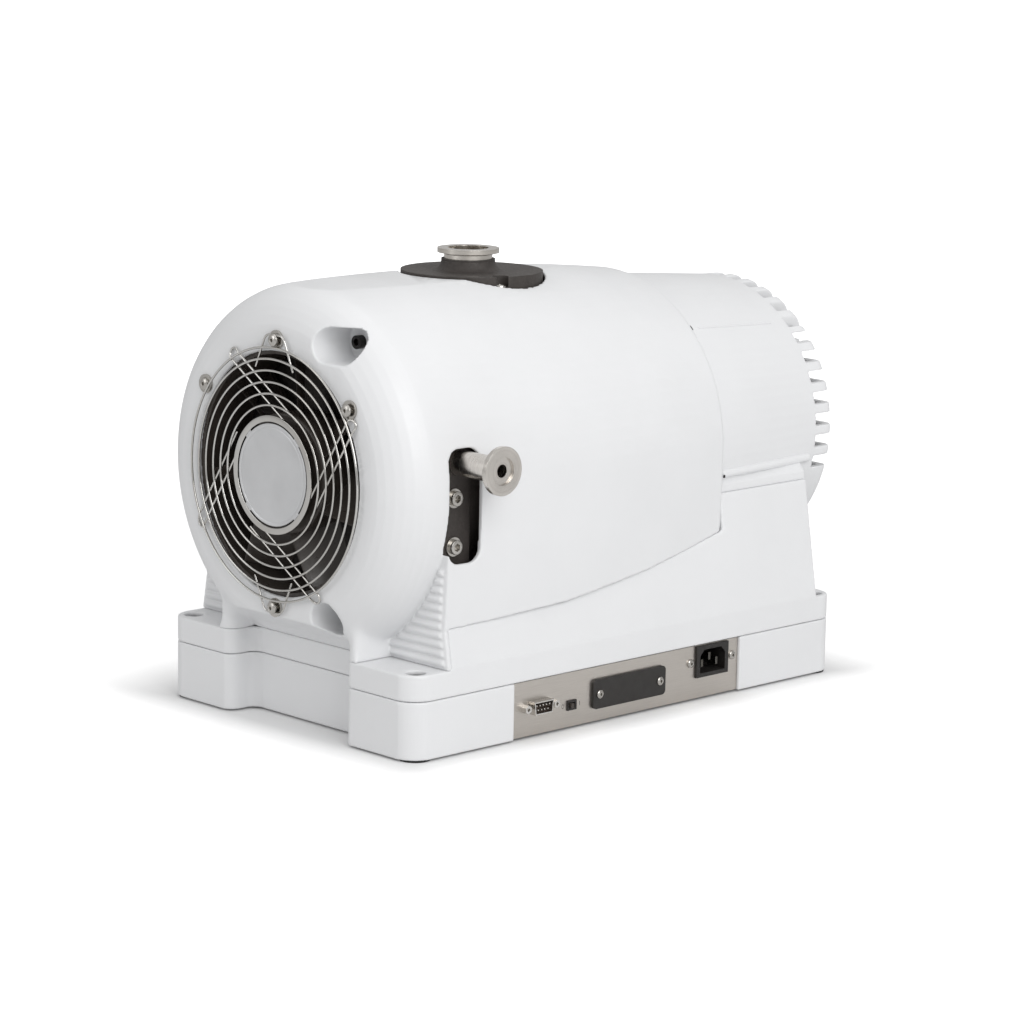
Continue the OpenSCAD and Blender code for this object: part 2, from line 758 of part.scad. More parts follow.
// Places of the guard's screws: angle, and how far the head stands off the washer
module at_guard_screws() for (p = guard_screw_places)
    translate(polar(guard_screw_circle, p[0])) children();
module guard_washers() color(bright) at_guard_screws() y_tube(nose_y - washer_t, nose_y, washer_r, guard_screw_r + fit);
module guard_screws() color(steel) for (p = guard_screw_places) translate(polar(guard_screw_circle, p[0])) {
    y_cyl(nose_y - washer_t - p[1] - fit, nose_y + wall + cut, guard_screw_r);
    y_cyl(nose_y - washer_t - p[1] - guard_head_h, nose_y - washer_t - p[1], guard_head_r);
}

// Cooling fan
module fan_frame() color(alloy) union() {
    y_tube(nose_y + wall, fan_end_y, fan_frame_r, fan_bore_r);
    difference() {
        for (a = [45:90:315]) translate([0, 0, axis_z]) rotate([0, a, 0])
            translate([-wall, fan_end_y - wall, fan_stator_r - cut]) cube([2 * wall, wall, fan_bore_r - fan_stator_r + 2 * cut]);
        y_cyl(fan_end_y - 2 * wall, fan_end_y + cut, fan_stator_r);
    }
}
module fan_motor() color(black) difference() {
    union() {
        y_cyl(fan_front_y + fan_cup_wall + 2 * gap, fan_end_y, fan_stator_r);
    }
    y_cyl(fan_front_y, fan_end_y - wall, fan_shaft_r + fit);
}
module blade(a) intersection() {
    y_tube(fan_front_y, fan_end_y - 3 * wall, fan_bore_r - blade_tip_gap, fan_hub_r - fan_cup_wall / 2);
    translate([0, (fan_front_y + fan_end_y) / 2 - wall, axis_z]) rotate([0, a, 0]) rotate([0, 0, blade_lean])
        translate([-blade_t / 2, -fan_hub_r, fan_hub_r - 2 * fan_cup_wall]) cube([blade_t, 2 * fan_hub_r, fan_bore_r]);
}
module fan_rotor() color(black) union() {
    difference() {
        y_cyl(fan_front_y, fan_end_y - 3 * wall, fan_hub_r);
        y_cyl(fan_front_y + fan_cup_wall, fan_end_y, fan_stator_r + 2 * gap);
    }
    y_cyl(fan_front_y, fan_end_y - 2 * wall, fan_shaft_r);
    for (i = [0:blade_n - 1]) blade(360 * i / blade_n);
}

// Scroll wraps: the curve that a taut string unwinds from the base circle, set off by half a wall each way
function wrap_point(t, off) = base_circle * [cos(t) + (t - off) * PI / 180 * sin(t), sin(t) - (t - off) * PI / 180 * cos(t)];
function wrap_outline(w) = concat(
    [for (t = [wrap_start:wrap_step:wrap_end]) wrap_point(t, w)],
    [for (t = [wrap_end:-wrap_step:wrap_start]) wrap_point(t, -w)]);
module wrap(y0, y1, w, from = 0) along_y(y0, y1) polygon(wrap_outline(w));

module fixed_scroll() color(dark) difference() {
    union() {
        y_cyl(fixed_front_y, fixed_floor_y, case_r);
        y_tube(fixed_floor_y - cut, case_split_y, case_r, case_bore_r);
        translate([0, 0, axis_z]) mirror([1, 0, 0]) mirror([0, 0, 1]) wrap(fixed_floor_y - cut, fixed_floor_y + wrap_h, wrap_open);
        translate([block_x0, block_y0, block_z0]) cube([block_x - block_x0, block_y1 - block_y0, block_z1 - block_z0]);
    }
    // Discharge way from the middle of the scroll to the exhaust pipe
    y_cyl(exhaust_y, fixed_floor_y + cut, exhaust_d / 2 + 1);
    z_cyl(axis_z - gas_r, exhaust_z, gas_r, 0, exhaust_y);
    x_cyl(-gas_r, block_x - past + cut, gas_r, exhaust_y, exhaust_z);
    x_cyl(block_x - past, block_x + cut, exhaust_tube_r + fit, exhaust_y, exhaust_z);
    for (z = exhaust_screw_zs) x_cyl(block_x - past, block_x + cut, case_screw_r + fit, exhaust_screw_y, z);
    at_case_screws() y_cyl(fixed_front_y - cut, case_split_y + cut, case_screw_r + fit);
    at_scoops() y_cyl(fixed_front_y - cut, cover_screw_y, scoop_screw_r - fit);
    // Grooves for the tip seal and the case seal
    translate([0, 0, axis_z]) mirror([1, 0, 0]) mirror([0, 0, 1])
        wrap(fixed_floor_y + wrap_h - seal_h, fixed_floor_y + wrap_h + cut, wrap_open * seal_share);
    y_tube(case_split_y - seal_h, case_split_y + cut, case_seal_r + seal_w / 2, case_seal_r - seal_w / 2);
}
module at_case_screws() for (a = case_screw_angles)
    translate([case_screw_circle * cos(a), 0, case_screw_circle * sin(a)]) children();

module fixed_tip_seal() color(seal_white) translate([0, 0, axis_z]) mirror([1, 0, 0]) mirror([0, 0, 1])
    wrap(fixed_floor_y + wrap_h - seal_h, fixed_floor_y + wrap_h + gap / 2, wrap_open * seal_share);
module orbiting_tip_seal() color(seal_white) translate([0, 0, axis_z + orbit])
    wrap(orbit_floor_y - wrap_h - gap / 2, orbit_floor_y - wrap_h + seal_h, wrap_open * seal_share);
module case_seal() color(rubber) y_tube(case_split_y - seal_h, case_split_y, case_seal_r + seal_w / 2, case_seal_r - seal_w / 2);

function idler_at(a, off) = [idler_circle * cos(a), 0, idler_circle * sin(a) + off];
module orbiting_scroll() color(alloy) difference() {
    union() {
        y_cyl(orbit_floor_y, orbit_back_y, orbit_plate_r, 0, axis_z + orbit);
        y_cyl(orbit_back_y - cut, orbit_back_y + hub_l, hub_r, 0, axis_z + orbit);
        translate([0, 0, axis_z + orbit]) wrap(orbit_floor_y - wrap_h, orbit_floor_y + cut, wrap_open);
        for (a = idler_angles) translate(idler_at(a, orbit)) y_cyl(orbit_back_y - cut, orbit_back_y + idler_boss_l, idler_boss_r);
    }
    y_cyl(pin_y0 - gap, orbit_back_y + hub_l + cut, crank_bearing_r + fit, 0, axis_z + orbit);
    for (a = idler_angles) translate(idler_at(a, orbit))
        y_cyl(orbit_back_y + wall, orbit_back_y + idler_boss_l + cut, idler_pin_r);
    translate([0, 0, axis_z + orbit]) wrap(orbit_floor_y - wrap_h - cut, orbit_floor_y - wrap_h + seal_h, wrap_open * seal_share);
}

// Main casting with the inlet neck, the bearing seats and the way in for the gas
module pump_housing() color(dark) difference() {
    union() {
        difference() {
            union() {
                y_cyl(case_split_y, housing_end_y, case_r);
                z_cyl(axis_z + neck_r, port_disc_z, neck_r + wall, 0, inlet_y);
                for (x = [-1, 1]) translate([x * port_rib_x - wall, port_rib_y, axis_z + case_bore_r / 2])
                    cube([2 * wall, housing_end_y - port_rib_y, port_disc_z - axis_z - case_bore_r / 2 - wall]);
            }
            y_cyl(case_split_y - cut, web_y0, case_bore_r);
            y_cyl(web_y1, housing_end_y + cut, case_bore_r);
        }
        z_cyl(port_disc_z - port_disc_t, port_disc_z, port_disc_r, 0, port_disc_y);
        z_cyl(port_disc_z - cut, neck_z, neck_r, 0, inlet_y);
        at_case_screws() y_cyl(case_split_y, web_y0 + cut, case_boss_r);
    }
    y_cyl(web_y0 - cut, web_y1 + cut, journal_r + wall);
    y_cyl(web_y0 - cut, front_bearing_y + front_bearing_w, front_bearing_r + fit);
    z_cyl(axis_z + case_bore_r - past, neck_z + cut, inlet_d / 2 - cut, 0, inlet_y);
    z_cyl(inlet_z - flange_t - insert_l, neck_z + cut, flange_neck_r + fit, 0, inlet_y);
    for (a = idler_angles) translate(idler_at(a, 0)) y_cyl(web_y0 - cut, web_y0 + bush_l, idler_pin_r + bush_t + fit);
    for (a = passage_angles) translate(idler_at(a, 0)) y_cyl(web_y0 - cut, web_y1 + cut, passage_r);
    at_case_screws() y_cyl(case_split_y - cut, web_y0 - wall, case_screw_r + fit);
    z_cyl(port_head_z, port_disc_z + cut, port_well_r, port_screw_x, port_screw_y);
    z_cyl(port_screw_z - cut, port_disc_z, case_screw_r + fit, port_screw_x, port_screw_y);
}

module case_screws() color(steel) at_case_screws() difference() {
    union() {
        y_cyl(fixed_front_y - case_head_h, fixed_front_y, case_head_r);
        y_cyl(fixed_front_y, web_y0 - 2 * wall, case_screw_r);
    }
    translate([0, fixed_front_y - case_head_h - cut, axis_z]) rotate([-90, 0, 0]) cylinder(h = wall + cut, r = case_screw_r, $fn = 6);
}

module inlet_flange() color(steel) difference() {
    union() {
        z_cyl(inlet_z - flange_t - insert_l, inlet_z - flange_t, flange_neck_r, 0, inlet_y);
        z_cyl(inlet_z - flange_t, inlet_z, flange_r, 0, inlet_y);
        translate([0, inlet_y, inlet_z - flange_t - flange_cone]) cylinder(h = flange_cone, r1 = flange_neck_r, r2 = flange_r);
    }
    z_cyl(inlet_z - flange_t - insert_l - cut, inlet_z + cut, inlet_d / 2, 0, inlet_y);
    z_cyl(inlet_z - flange_t, inlet_z + cut, inlet_d / 2 + 0.6, 0, inlet_y);
}
module port_screw() color(steel) difference() {
    union() {
        z_cyl(port_head_z, port_head_z + case_head_h, case_head_r, port_screw_x, port_screw_y);
        z_cyl(port_screw_z, port_head_z + cut, case_screw_r, port_screw_x, port_screw_y);
    }
    translate([port_screw_x, port_screw_y, port_head_z + 2 * cut]) cylinder(h = case_head_h, r = case_screw_r, $fn = 6);
}

module exhaust_pipe() color(steel) difference() {
    union() {
        x_cyl(block_x - past, exhaust_x - flange_t, exhaust_tube_r, exhaust_y, exhaust_z);
        translate([exhaust_x - flange_t - exhaust_cone, exhaust_y, exhaust_z]) rotate([0, 90, 0])
            cylinder(h = exhaust_cone, r1 = exhaust_tube_r, r2 = exhaust_flange_r - 1);
        x_cyl(exhaust_x - flange_t, exhaust_x, exhaust_flange_r, exhaust_y, exhaust_z);
    }
    x_cyl(block_x - past - cut, exhaust_x + cut, exhaust_d / 2, exhaust_y, exhaust_z);
    x_cyl(exhaust_x - flange_t / 2, exhaust_x + cut, exhaust_tube_r + 0.6, exhaust_y, exhaust_z);
}

module exhaust_washers() color(bright) for (z = exhaust_screw_zs) difference() {
    x_cyl(block_x, block_x + washer_t, washer_r, exhaust_screw_y, z);
    x_cyl(block_x - cut, block_x + washer_t + cut, case_screw_r + fit, exhaust_screw_y, z);
}
module exhaust_screws() color(bright) for (z = exhaust_screw_zs) difference() {
    union() {
        x_cyl(block_x - past + cut, block_x + washer_t, case_screw_r, exhaust_screw_y, z);
        x_cyl(block_x + washer_t, block_x + washer_t + wall, exhaust_head_r, exhaust_screw_y, z);
    }
    translate([block_x + washer_t + cut, exhaust_screw_y, z]) rotate([0, 90, 0]) cylinder(h = wall + cut, r = case_screw_r, $fn = 6);
}

// Shaft line: the crank pin stands off the axis by the orbit
module crankshaft() color(steel) union() {
    y_cyl(pin_y0, web_disc_y0 + cut, pin_r - fit, 0, axis_z + orbit);
    y_cyl(web_disc_y0, web_disc_y0 + web_disc_t, crank_disc_r);
    y_cyl(web_disc_y0 + web_disc_t - cut, web_y1, journal_r - fit);
    y_cyl(web_y1 - cut, rear_bearing_y, shaft_r);
    y_cyl(rear_bearing_y - cut, rear_bearing_y + rear_bearing_w + wall, tail_journal_r - fit);
}
module counterweight() color(alloy) difference() {
    translate([0, web_disc_y0 + web_disc_t - wall, axis_z]) rotate([-90, 0, 0]) rotate([0, 0, 90 - weight_turn / 2])
        rotate_extrude(angle = weight_turn) translate([crank_disc_r + fit, 0]) square([weight_r - crank_disc_r - fit, wall]);
}

// A sealed bearing: its outer ring with both shields, and its inner ring
module outer_ring(y, w, ro, ri, z) difference() {
    y_tube(y, y + w, ro, ri + race_t / 2 + gap, 0, z);
    y_tube(y + cut, y + w - cut, ro - race_t, ri + race_t / 2, 0, z);
}
module inner_ring(y, w, ri, z) y_tube(y, y + w, ri + race_t / 2, ri, 0, z);
crank_bearing_y = pin_y0;
module crank_bearing_outer() color(steel) outer_ring(crank_bearing_y, crank_bearing_w, crank_bearing_r, pin_r, axis_z + orbit);
module crank_bearing_inner() color(bright) inner_ring(crank_bearing_y, crank_bearing_w, pin_r, axis_z + orbit);
module front_bearing_outer() color(steel) outer_ring(front_bearing_y, front_bearing_w, front_bearing_r, journal_r, axis_z);
module front_bearing_inner() color(bright) inner_ring(front_bearing_y, front_bearing_w, journal_r, axis_z);
module rear_bearing_outer() color(steel) outer_ring(rear_bearing_y, rear_bearing_w, rear_bearing_r, tail_journal_r, axis_z);
module rear_bearing_inner() color(bright) inner_ring(rear_bearing_y, rear_bearing_w, tail_journal_r, axis_z);

// Three idler cranks keep the orbiting scroll from turning
module idler(a) color(steel) union() {
    translate(idler_at(a, 0)) y_cyl(idler_disc_y, web_y0 + bush_l - 1, idler_pin_r - idler_gap);
    translate(idler_at(a, orbit / 2)) y_cyl(idler_disc_y, idler_disc_y + idler_disc_t, idler_disc_r);
    translate(idler_at(a, orbit)) y_cyl(orbit_back_y + wall + cut, idler_disc_y + cut, idler_pin_r - idler_gap);
}
module idler_crank_top() idler(idler_angles[0]);
module idler_crank_right() idler(idler_angles[1]);
module idler_crank_left() idler(idler_angles[2]);
module idler_bushes() color(copper) for (a = idler_angles) translate(idler_at(a, 0))
    y_tube(web_y0, web_y0 + bush_l, idler_pin_r + bush_t, idler_pin_r);

module shaft_seal() color(rubber) y_tube(housing_end_y + gap, housing_end_y + motor_front_t, journal_r + wall, shaft_r + 0.05);

// Motor
module motor_housing() color(alloy) difference() {
    union() {
        y_cyl(housing_end_y, motor_end_y, motor_r);
        y_cyl(housing_end_y, housing_end_y + motor_front_t, case_r);
        for (i = [0:motor_fin_n - 1]) translate([0, 0, axis_z]) rotate([0, i * 360 / motor_fin_n, 0])
            translate([-motor_fin_t / 2, housing_end_y + cut, motor_r - cut])
                cube([motor_fin_t, motor_end_y - housing_end_y - cut, motor_fin_r - motor_r + cut]);
    }
    y_cyl(housing_end_y + motor_front_t, motor_end_y + cut, motor_bore_r);
    y_cyl(housing_end_y - cut, housing_end_y + motor_front_t + cut, journal_r + wall + fit);
}
module motor_stator() color(alloy) difference() {
    y_tube(stator_y0, stator_y1, motor_bore_r - fit, stator_bore_r);
    for (i = [0:stator_slot_n - 1]) translate([0, 0, axis_z]) rotate([0, i * 360 / stator_slot_n, 0])
        translate([-stator_slot_w / 2, stator_y0 - cut, stator_slot_r0]) cube([stator_slot_w, stator_y1 - stator_y0 + 2 * cut, stator_slot_r1 - stator_slot_r0]);
}
module motor_windings() color(copper) {
    y_tube(stator_y0 - winding_l, stator_y0, winding_r1, winding_r0);
    y_tube(stator_y1, stator_y1 + winding_l, winding_r1, winding_r0);
}
module motor_rotor() color(steel) y_tube(stator_y0 - wall, stator_y1 + wall, stator_bore_r - rotor_gap, shaft_r + fit);
module motor_end_bell() color(alloy) difference() {
    union() {
        y_cyl(motor_end_y, motor_end_y + bell_t, motor_fin_r - wall);
        y_cyl(motor_end_y, rear_bearing_y + rear_bearing_w, rear_bearing_r + 2 * wall);
    }
    y_cyl(motor_end_y - cut, rear_bearing_y + rear_bearing_w + cut, rear_bearing_r - race_t);
    y_cyl(rear_bearing_y, rear_bearing_y + rear_bearing_w + cut, rear_bearing_r + fit);
}

// Two cradles under the casing and the motor, on rubber isolators
module cradle(y, r) difference() {
    union() {
        translate([-cradle_x, y - cradle_l / 2, plate_top + isolator_h]) cube([2 * cradle_x, cradle_l, plate_t]);
        translate([-cradle_x, y - cradle_t / 2, plate_top + isolator_h]) cube([2 * cradle_x, cradle_t, axis_z - r / 2 - plate_top - isolator_h]);
    }
    y_cyl(y - cradle_l, y + cradle_l, r + fit);
}
module support_frame() color(steel) {
    cradle(cradle_y_front, case_r);
    cradle(cradle_y_rear, motor_fin_r);
}
module isolators() color(rubber) for (x = [-1, 1], y = [cradle_y_front, cradle_y_rear])
    z_cyl(plate_top, plate_top + isolator_h, isolator_r, x * isolator_x, y);

// Connector panel and what is on it
module dsub_face(w, h) polygon([[-w / 2 + h / 8, -h / 2], [w / 2 - h / 8, -h / 2], [w / 2, h / 2], [-w / 2, h / 2]]);
panel_in_x = panel_out_x - panel_t;
module control_panel() color(steel) difference() {
    union() {
        translate([panel_in_x, panel_y0 + seam, tray_z + gap]) cube([panel_t, panel_y1 - panel_y0 - 2 * seam, tray_h - 2 * gap]);
        translate([panel_in_x - panel_flange, panel_y0 + seam, plate_top]) cube([panel_flange + cut, panel_y1 - panel_y0 - 2 * seam, panel_t]);
    }
    translate([panel_in_x - cut, dsub_y - dsub_w / 2 - fit, dsub_z - dsub_h / 2 - fit]) cube([panel_t + 2 * cut, dsub_w + 2 * fit, dsub_h + 2 * fit]);
    translate([panel_in_x - cut, switch_y - switch_w / 2 - fit, switch_z - switch_h / 2 - fit]) cube([panel_t + 2 * cut, switch_w + 2 * fit, switch_h + 2 * fit]);
    translate([panel_in_x - cut, power_y - power_w / 2 - fit, power_z - power_h / 2 - fit]) cube([panel_t + 2 * cut, power_w + 2 * fit, power_h + 2 * fit]);
    for (s = [-1, 1]) x_cyl(panel_in_x - cut, panel_out_x + cut, jack_bore_r + fit, dsub_y + s * jack_pitch / 2, dsub_z);
    for (s = [-1, 1]) x_cyl(panel_in_x - cut, panel_out_x + cut, jack_bore_r + fit, blank_y + s * blank_screw_pitch / 2, blank_z);
    for (s = [-1, 1]) x_cyl(panel_in_x - cut, panel_out_x + cut, jack_bore_r + fit, power_y + s * power_screw_pitch / 2, power_z);
}
module control_board() color(green) union() {
    translate([board_x, panel_y0 + past / 2, board_z]) cube([board_t, panel_y1 - panel_y0 - past, board_h]);
    for (y = board_posts) x_cyl(board_x + board_t - fit, panel_in_x, post_r, y, board_z + board_h - 2 * post_r);
}
module board_parts() color(black) {
    for (y = [-20, 8, 36]) x_cyl(board_x - 2 * past, board_x, past * 0.8, y, board_z + board_h / 2);
    translate([board_x - past, panel_y0 + 2 * past, board_z + wall]) cube([past, 2 * past, board_h - 2 * wall]);
}
module dsub_shell() color(bright) difference() {
    union() {
        along_x(panel_in_x - jack_flange_t, panel_out_x + dsub_out) translate([dsub_y, dsub_z]) dsub_face(dsub_w, dsub_h);
        translate([panel_in_x - jack_flange_t - cut, dsub_y - dsub_flange_w / 2, dsub_z - dsub_flange_h / 2]) cube([jack_flange_t + cut, dsub_flange_w, dsub_flange_h]);
    }
    along_x(panel_in_x - jack_flange_t - 2 * cut, panel_out_x + dsub_out + cut) translate([dsub_y, dsub_z]) dsub_face(dsub_w - 2 * dsub_t, dsub_h - 2 * dsub_t);
    for (s = [-1, 1]) x_cyl(panel_in_x - past, panel_out_x + cut, jack_bore_r + fit, dsub_y + s * jack_pitch / 2, dsub_z);
}
module dsub_insert() color(black) difference() {
    union() {
        along_x(panel_in_x - jack_flange_t - cut, panel_out_x) translate([dsub_y, dsub_z]) dsub_face(dsub_w - 2 * dsub_t - 2 * fit, dsub_h - 2 * dsub_t - 2 * fit);
        translate([board_x + board_t, dsub_y - dsub_w / 2, dsub_z - dsub_h / 2]) cube([panel_in_x - jack_flange_t - cut - board_x - board_t, dsub_w, dsub_h]);
    }
    at_dsub_pins() x_cyl(board_x + board_t + wall, panel_out_x + cut, dsub_pin_r + fit, 0, 0);
}
module at_dsub_pins() for (row = [0, 1], i = [0:4 - row])
    translate([0, dsub_y + (i - (4 - row) / 2) * dsub_pin_step, dsub_z + (0.5 - row) * dsub_row]) children();
module dsub_pins() color(bright) at_dsub_pins() x_cyl(board_x + board_t + wall, panel_out_x + dsub_out - cut, dsub_pin_r, 0, 0);
module jackscrews() color(bright) for (s = [-1, 1]) translate([0, dsub_y + s * jack_pitch / 2, dsub_z]) difference() {
    union() {
        rotate([0, 90, 0]) translate([0, 0, panel_out_x]) cylinder(h = dsub_out - cut, r = jack_r, $fn = 6);
        rotate([0, 90, 0]) translate([0, 0, panel_in_x - jack_flange_t - 2 * cut]) cylinder(h = panel_t + jack_flange_t + 3 * cut, r = jack_bore_r, $fn = small_fn);
    }
    rotate([0, 90, 0]) translate([0, 0, panel_out_x + cut]) cylinder(h = dsub_out, r = jack_bore_r * 0.8, $fn = small_fn);
}
module switch_body() color(black) difference() {
    translate([panel_out_x + switch_out - switch_depth, switch_y - switch_w / 2, switch_z - switch_h / 2]) cube([switch_depth, switch_w, switch_h]);
    translate([panel_out_x + switch_out - slider_h, switch_y - (slider_w + switch_travel) / 2 - gap, switch_z - slider_h / 2 - gap])
        cube([switch_depth, slider_w + switch_travel + 2 * gap, slider_h + 2 * gap]);
}
module switch_slider() color(bright) translate([panel_out_x + switch_out - slider_h + gap / 2, switch_y - (slider_w + switch_travel) / 2, switch_z - slider_h / 2])
    cube([slider_h + slider_out, slider_w, slider_h]);
module blank_plate() color(black) difference() {
    along_x(panel_out_x, panel_out_x + blank_t) translate([blank_y, blank_z]) round_rect(blank_w, blank_h, blank_r);
    for (s = [-1, 1]) x_cyl(panel_out_x - cut, panel_out_x + blank_t + cut, jack_bore_r + fit, blank_y + s * blank_screw_pitch / 2, blank_z);
}
module power_inlet() color(black) difference() {
    union() {
        translate([panel_out_x + power_out - power_depth, power_y - power_w / 2, power_z - power_h / 2]) cube([power_depth, power_w, power_h]);
        translate([panel_in_x - panel_t, power_y - power_ear_w / 2, power_z - power_h / 3]) cube([panel_t, power_ear_w, 2 * power_h / 3]);
    }
    for (s = [-1, 1]) x_cyl(panel_in_x - past, panel_in_x, jack_bore_r + fit, power_y + s * power_screw_pitch / 2, power_z);
    along_x(panel_out_x + power_out - socket_d, panel_out_x + past) translate([power_y, power_z]) polygon([[-socket_w / 2, -socket_h / 2],
        [socket_w / 2, -socket_h / 2], [socket_w / 2, socket_h / 4], [socket_w / 2 - socket_h / 4, socket_h / 2],
        [-socket_w / 2 + socket_h / 4, socket_h / 2], [-socket_w / 2, socket_h / 4]]);
}
module inlet_pins() color(bright) for (i = [-1, 0, 1])
    translate([panel_out_x + power_out - socket_d, power_y + i * blade_pitch - blade_w / 2, power_z - blade_h / 2 + (i == 0 ? blade_drop / 2 : -blade_drop / 2)])
        cube([blade_l, blade_w, blade_h]);
module panel_screws() color(steel) {
    for (s = [-1, 1]) translate([0, blank_y + s * blank_screw_pitch / 2, blank_z]) panel_screw(panel_out_x + blank_t);
    for (s = [-1, 1]) translate([0, power_y + s * power_screw_pitch / 2, power_z]) panel_screw(panel_out_x);
}
module panel_screw(x) {
    x_cyl(x, x + panel_head_h, panel_screw_r, 0, 0);
    x_cyl(panel_in_x - 2 * cut, x, jack_bore_r, 0, 0);
}

base_tray();
chassis_plate();
rubber_feet();
cover_posts();
pedestal_cover();
front_cover();
rear_cover();
cover_screws();
fan_guard();
guard_disc();
guard_screws();
guard_washers();
fan_frame();
fan_motor();
fan_rotor();
fixed_scroll();
fixed_tip_seal();
orbiting_scroll();
orbiting_tip_seal();
case_seal();
pump_housing();
case_screws();
inlet_flange();
port_screw();
exhaust_pipe();
exhaust_screws();
exhaust_washers();
crankshaft();
counterweight();
crank_bearing_outer();
crank_bearing_inner();
front_bearing_outer();
front_bearing_inner();
rear_bearing_outer();
rear_bearing_inner();
idler_crank_top();
idler_crank_right();
idler_crank_left();
idler_bushes();
shaft_seal();
motor_housing();
motor_stator();
motor_windings();
motor_rotor();
motor_end_bell();
support_frame();
isolators();
control_panel();
control_board();
board_parts();
dsub_shell();
dsub_insert();
dsub_pins();
jackscrews();
switch_body();
switch_slider();
blank_plate();
power_inlet();
inlet_pins();
panel_screws();
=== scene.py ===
"""Dry scroll vacuum pump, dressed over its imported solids.

Covers, wire guard, fan and fasteners are made here. Every other piece keeps its solid and gets a finish.
"""

import json
import math

import bmesh
import bpy
import numpy as np
from mathutils import Matrix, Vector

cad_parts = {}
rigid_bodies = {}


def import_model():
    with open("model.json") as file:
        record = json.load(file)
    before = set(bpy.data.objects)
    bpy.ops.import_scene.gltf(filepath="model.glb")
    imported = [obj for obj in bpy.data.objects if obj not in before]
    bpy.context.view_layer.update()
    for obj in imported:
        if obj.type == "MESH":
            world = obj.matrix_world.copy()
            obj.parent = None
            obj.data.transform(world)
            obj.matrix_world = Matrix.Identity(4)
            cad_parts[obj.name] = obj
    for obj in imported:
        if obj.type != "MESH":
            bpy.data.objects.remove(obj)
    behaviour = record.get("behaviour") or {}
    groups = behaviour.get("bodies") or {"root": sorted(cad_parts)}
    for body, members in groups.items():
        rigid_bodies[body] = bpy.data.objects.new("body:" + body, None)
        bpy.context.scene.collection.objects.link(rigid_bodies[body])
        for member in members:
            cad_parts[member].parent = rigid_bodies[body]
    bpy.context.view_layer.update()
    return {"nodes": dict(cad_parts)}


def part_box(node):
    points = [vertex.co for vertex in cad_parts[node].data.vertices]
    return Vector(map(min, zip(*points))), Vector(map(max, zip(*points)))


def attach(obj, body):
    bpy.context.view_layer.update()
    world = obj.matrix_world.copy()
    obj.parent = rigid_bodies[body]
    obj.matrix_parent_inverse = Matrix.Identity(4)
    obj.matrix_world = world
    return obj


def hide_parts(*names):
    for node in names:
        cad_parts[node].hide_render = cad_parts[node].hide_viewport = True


for left_over in list(bpy.data.objects):
    bpy.data.objects.remove(left_over)
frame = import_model()

bl_info = {
    "name": "Dry scroll vacuum pump",
    "version": (1, 0, 0),
    "blender": (4, 5, 0),
    "location": "View3D > Sidebar > Vacuum pump",
    "description": "Dresses the pump's solids with moulded covers, guard, fan and finishes",
    "category": "Object",
}

# Places and sizes in metres, angles in degrees but for the blades' twist in radians

# The pump's axis and the guard in front of it
AXIS_Z = 0.1635
NOSE_Y = -0.203
RING_PLANE_Y = -0.206375
STRUT_PLANE_Y = -0.20525
RING_FIRST_R = 0.0434
RING_STEP = 0.00716
RING_COUNT = 6
STRUT_START_R = 0.001
STRUT_NEAR = 0.0347
STRUT_FAR = 0.042
STRUT_TIP_R = 0.083
STRUT_LEAN = 0.0012
STRUT_LEAN_R = (0.0805, 0.0855)
STRUT_ANGLES = (28.5, 118.5, 208.5, 298.5)
STRUT_TURN = -151.3
CLIP_SIDE = ((-0.0175, 0.066), (-0.0088, 0.0856), (-0.0066, 0.08705))
CLIP_CORNERS = CLIP_SIDE + tuple((-across, up) for across, up in reversed(CLIP_SIDE))
CLIP_WIRE_SHARE = 0.94
GUARD_SCREW_PLACES = ((90.0, 0.0015), (35.5, 0.0015), (144.5, 0.0), (270.0, 0.0015))
GUARD_SCREW_CIRCLE = 0.084
WASHER_T = 0.0015
HUB_RING_INNER_R = 0.0332
HUB_RING_OUTER_R = 0.0372
HUB_RING_HALF = 0.0007
HUB_RING_EASE = 0.0004
DISC_CROWN_R = 0.0288
DISC_CROWN = 0.0002
DISC_FRONT = 0.00062
DISC_GROOVE = 0.00042
DISC_GROOVE_R = (0.0292, 0.0296, 0.03, 0.0304, 0.0308)
DISC_GROOVE_RISE = (0.0, 0.00022, 0.00022, 0.0, -0.0001)
DISC_RIM_R = 0.0316
DISC_RIM_HALF = 0.00055
DISC_REAR = 0.0006
TAB_ANGLES = (45, 135, 225, 315)
TAB_REACH = (0.0302, 0.033)
TAB_HALF_WIDTH = 0.003
TAB_HALF_T = 0.00045
TAB_POWER = 0.35

# Fan
HUB_R = 0.038
HUB_EASE = 0.002
HUB_INSIDE_R = 0.0354
HUB_FLOOR = 0.0026
HUB_FRONT_Y = -0.197
HUB_REAR_Y = -0.1725
FAN_SHAFT_R = 0.003
FAN_SHAFT_Y = -0.1695
BLADE_TIP_R = 0.073
BLADE_TWIST = 0.16
BLADE_DEPTH = 0.0228
BLADE_HALF_T = 0.0009
BLADE_BOW = 0.0022

# Lines on the rear cover, and the dark blocks that paint the shade in its clip notches
BEAD_POINTS = (
    (0.1031, 0.0935, 0.1455),
    (0.1012, 0.12, 0.1455),
    (0.0992, 0.15, 0.1457),
    (0.0966, 0.184, 0.146),
)
BEAD_R = 0.0028
RIDGE_R = 0.0009
RIDGE_POINTS = ((0.0726, 0.0985, 0.2385), (0.0705, 0.1318, 0.2369), (0.0676, 0.1753, 0.2352))
NOTCH_HALF = 0.0007
NOTCH_DEPTH = 0.0005
NOTCH_POWER = 0.4
NOTCH_PLACES = (
    ((0.0729, 0.0912, 0.239), (0.69, 0.08, 0.72), 0.0019),
    ((0.1065, 0.0908, 0.1445), (0.99, 0.08, -0.1), 0.001),
)

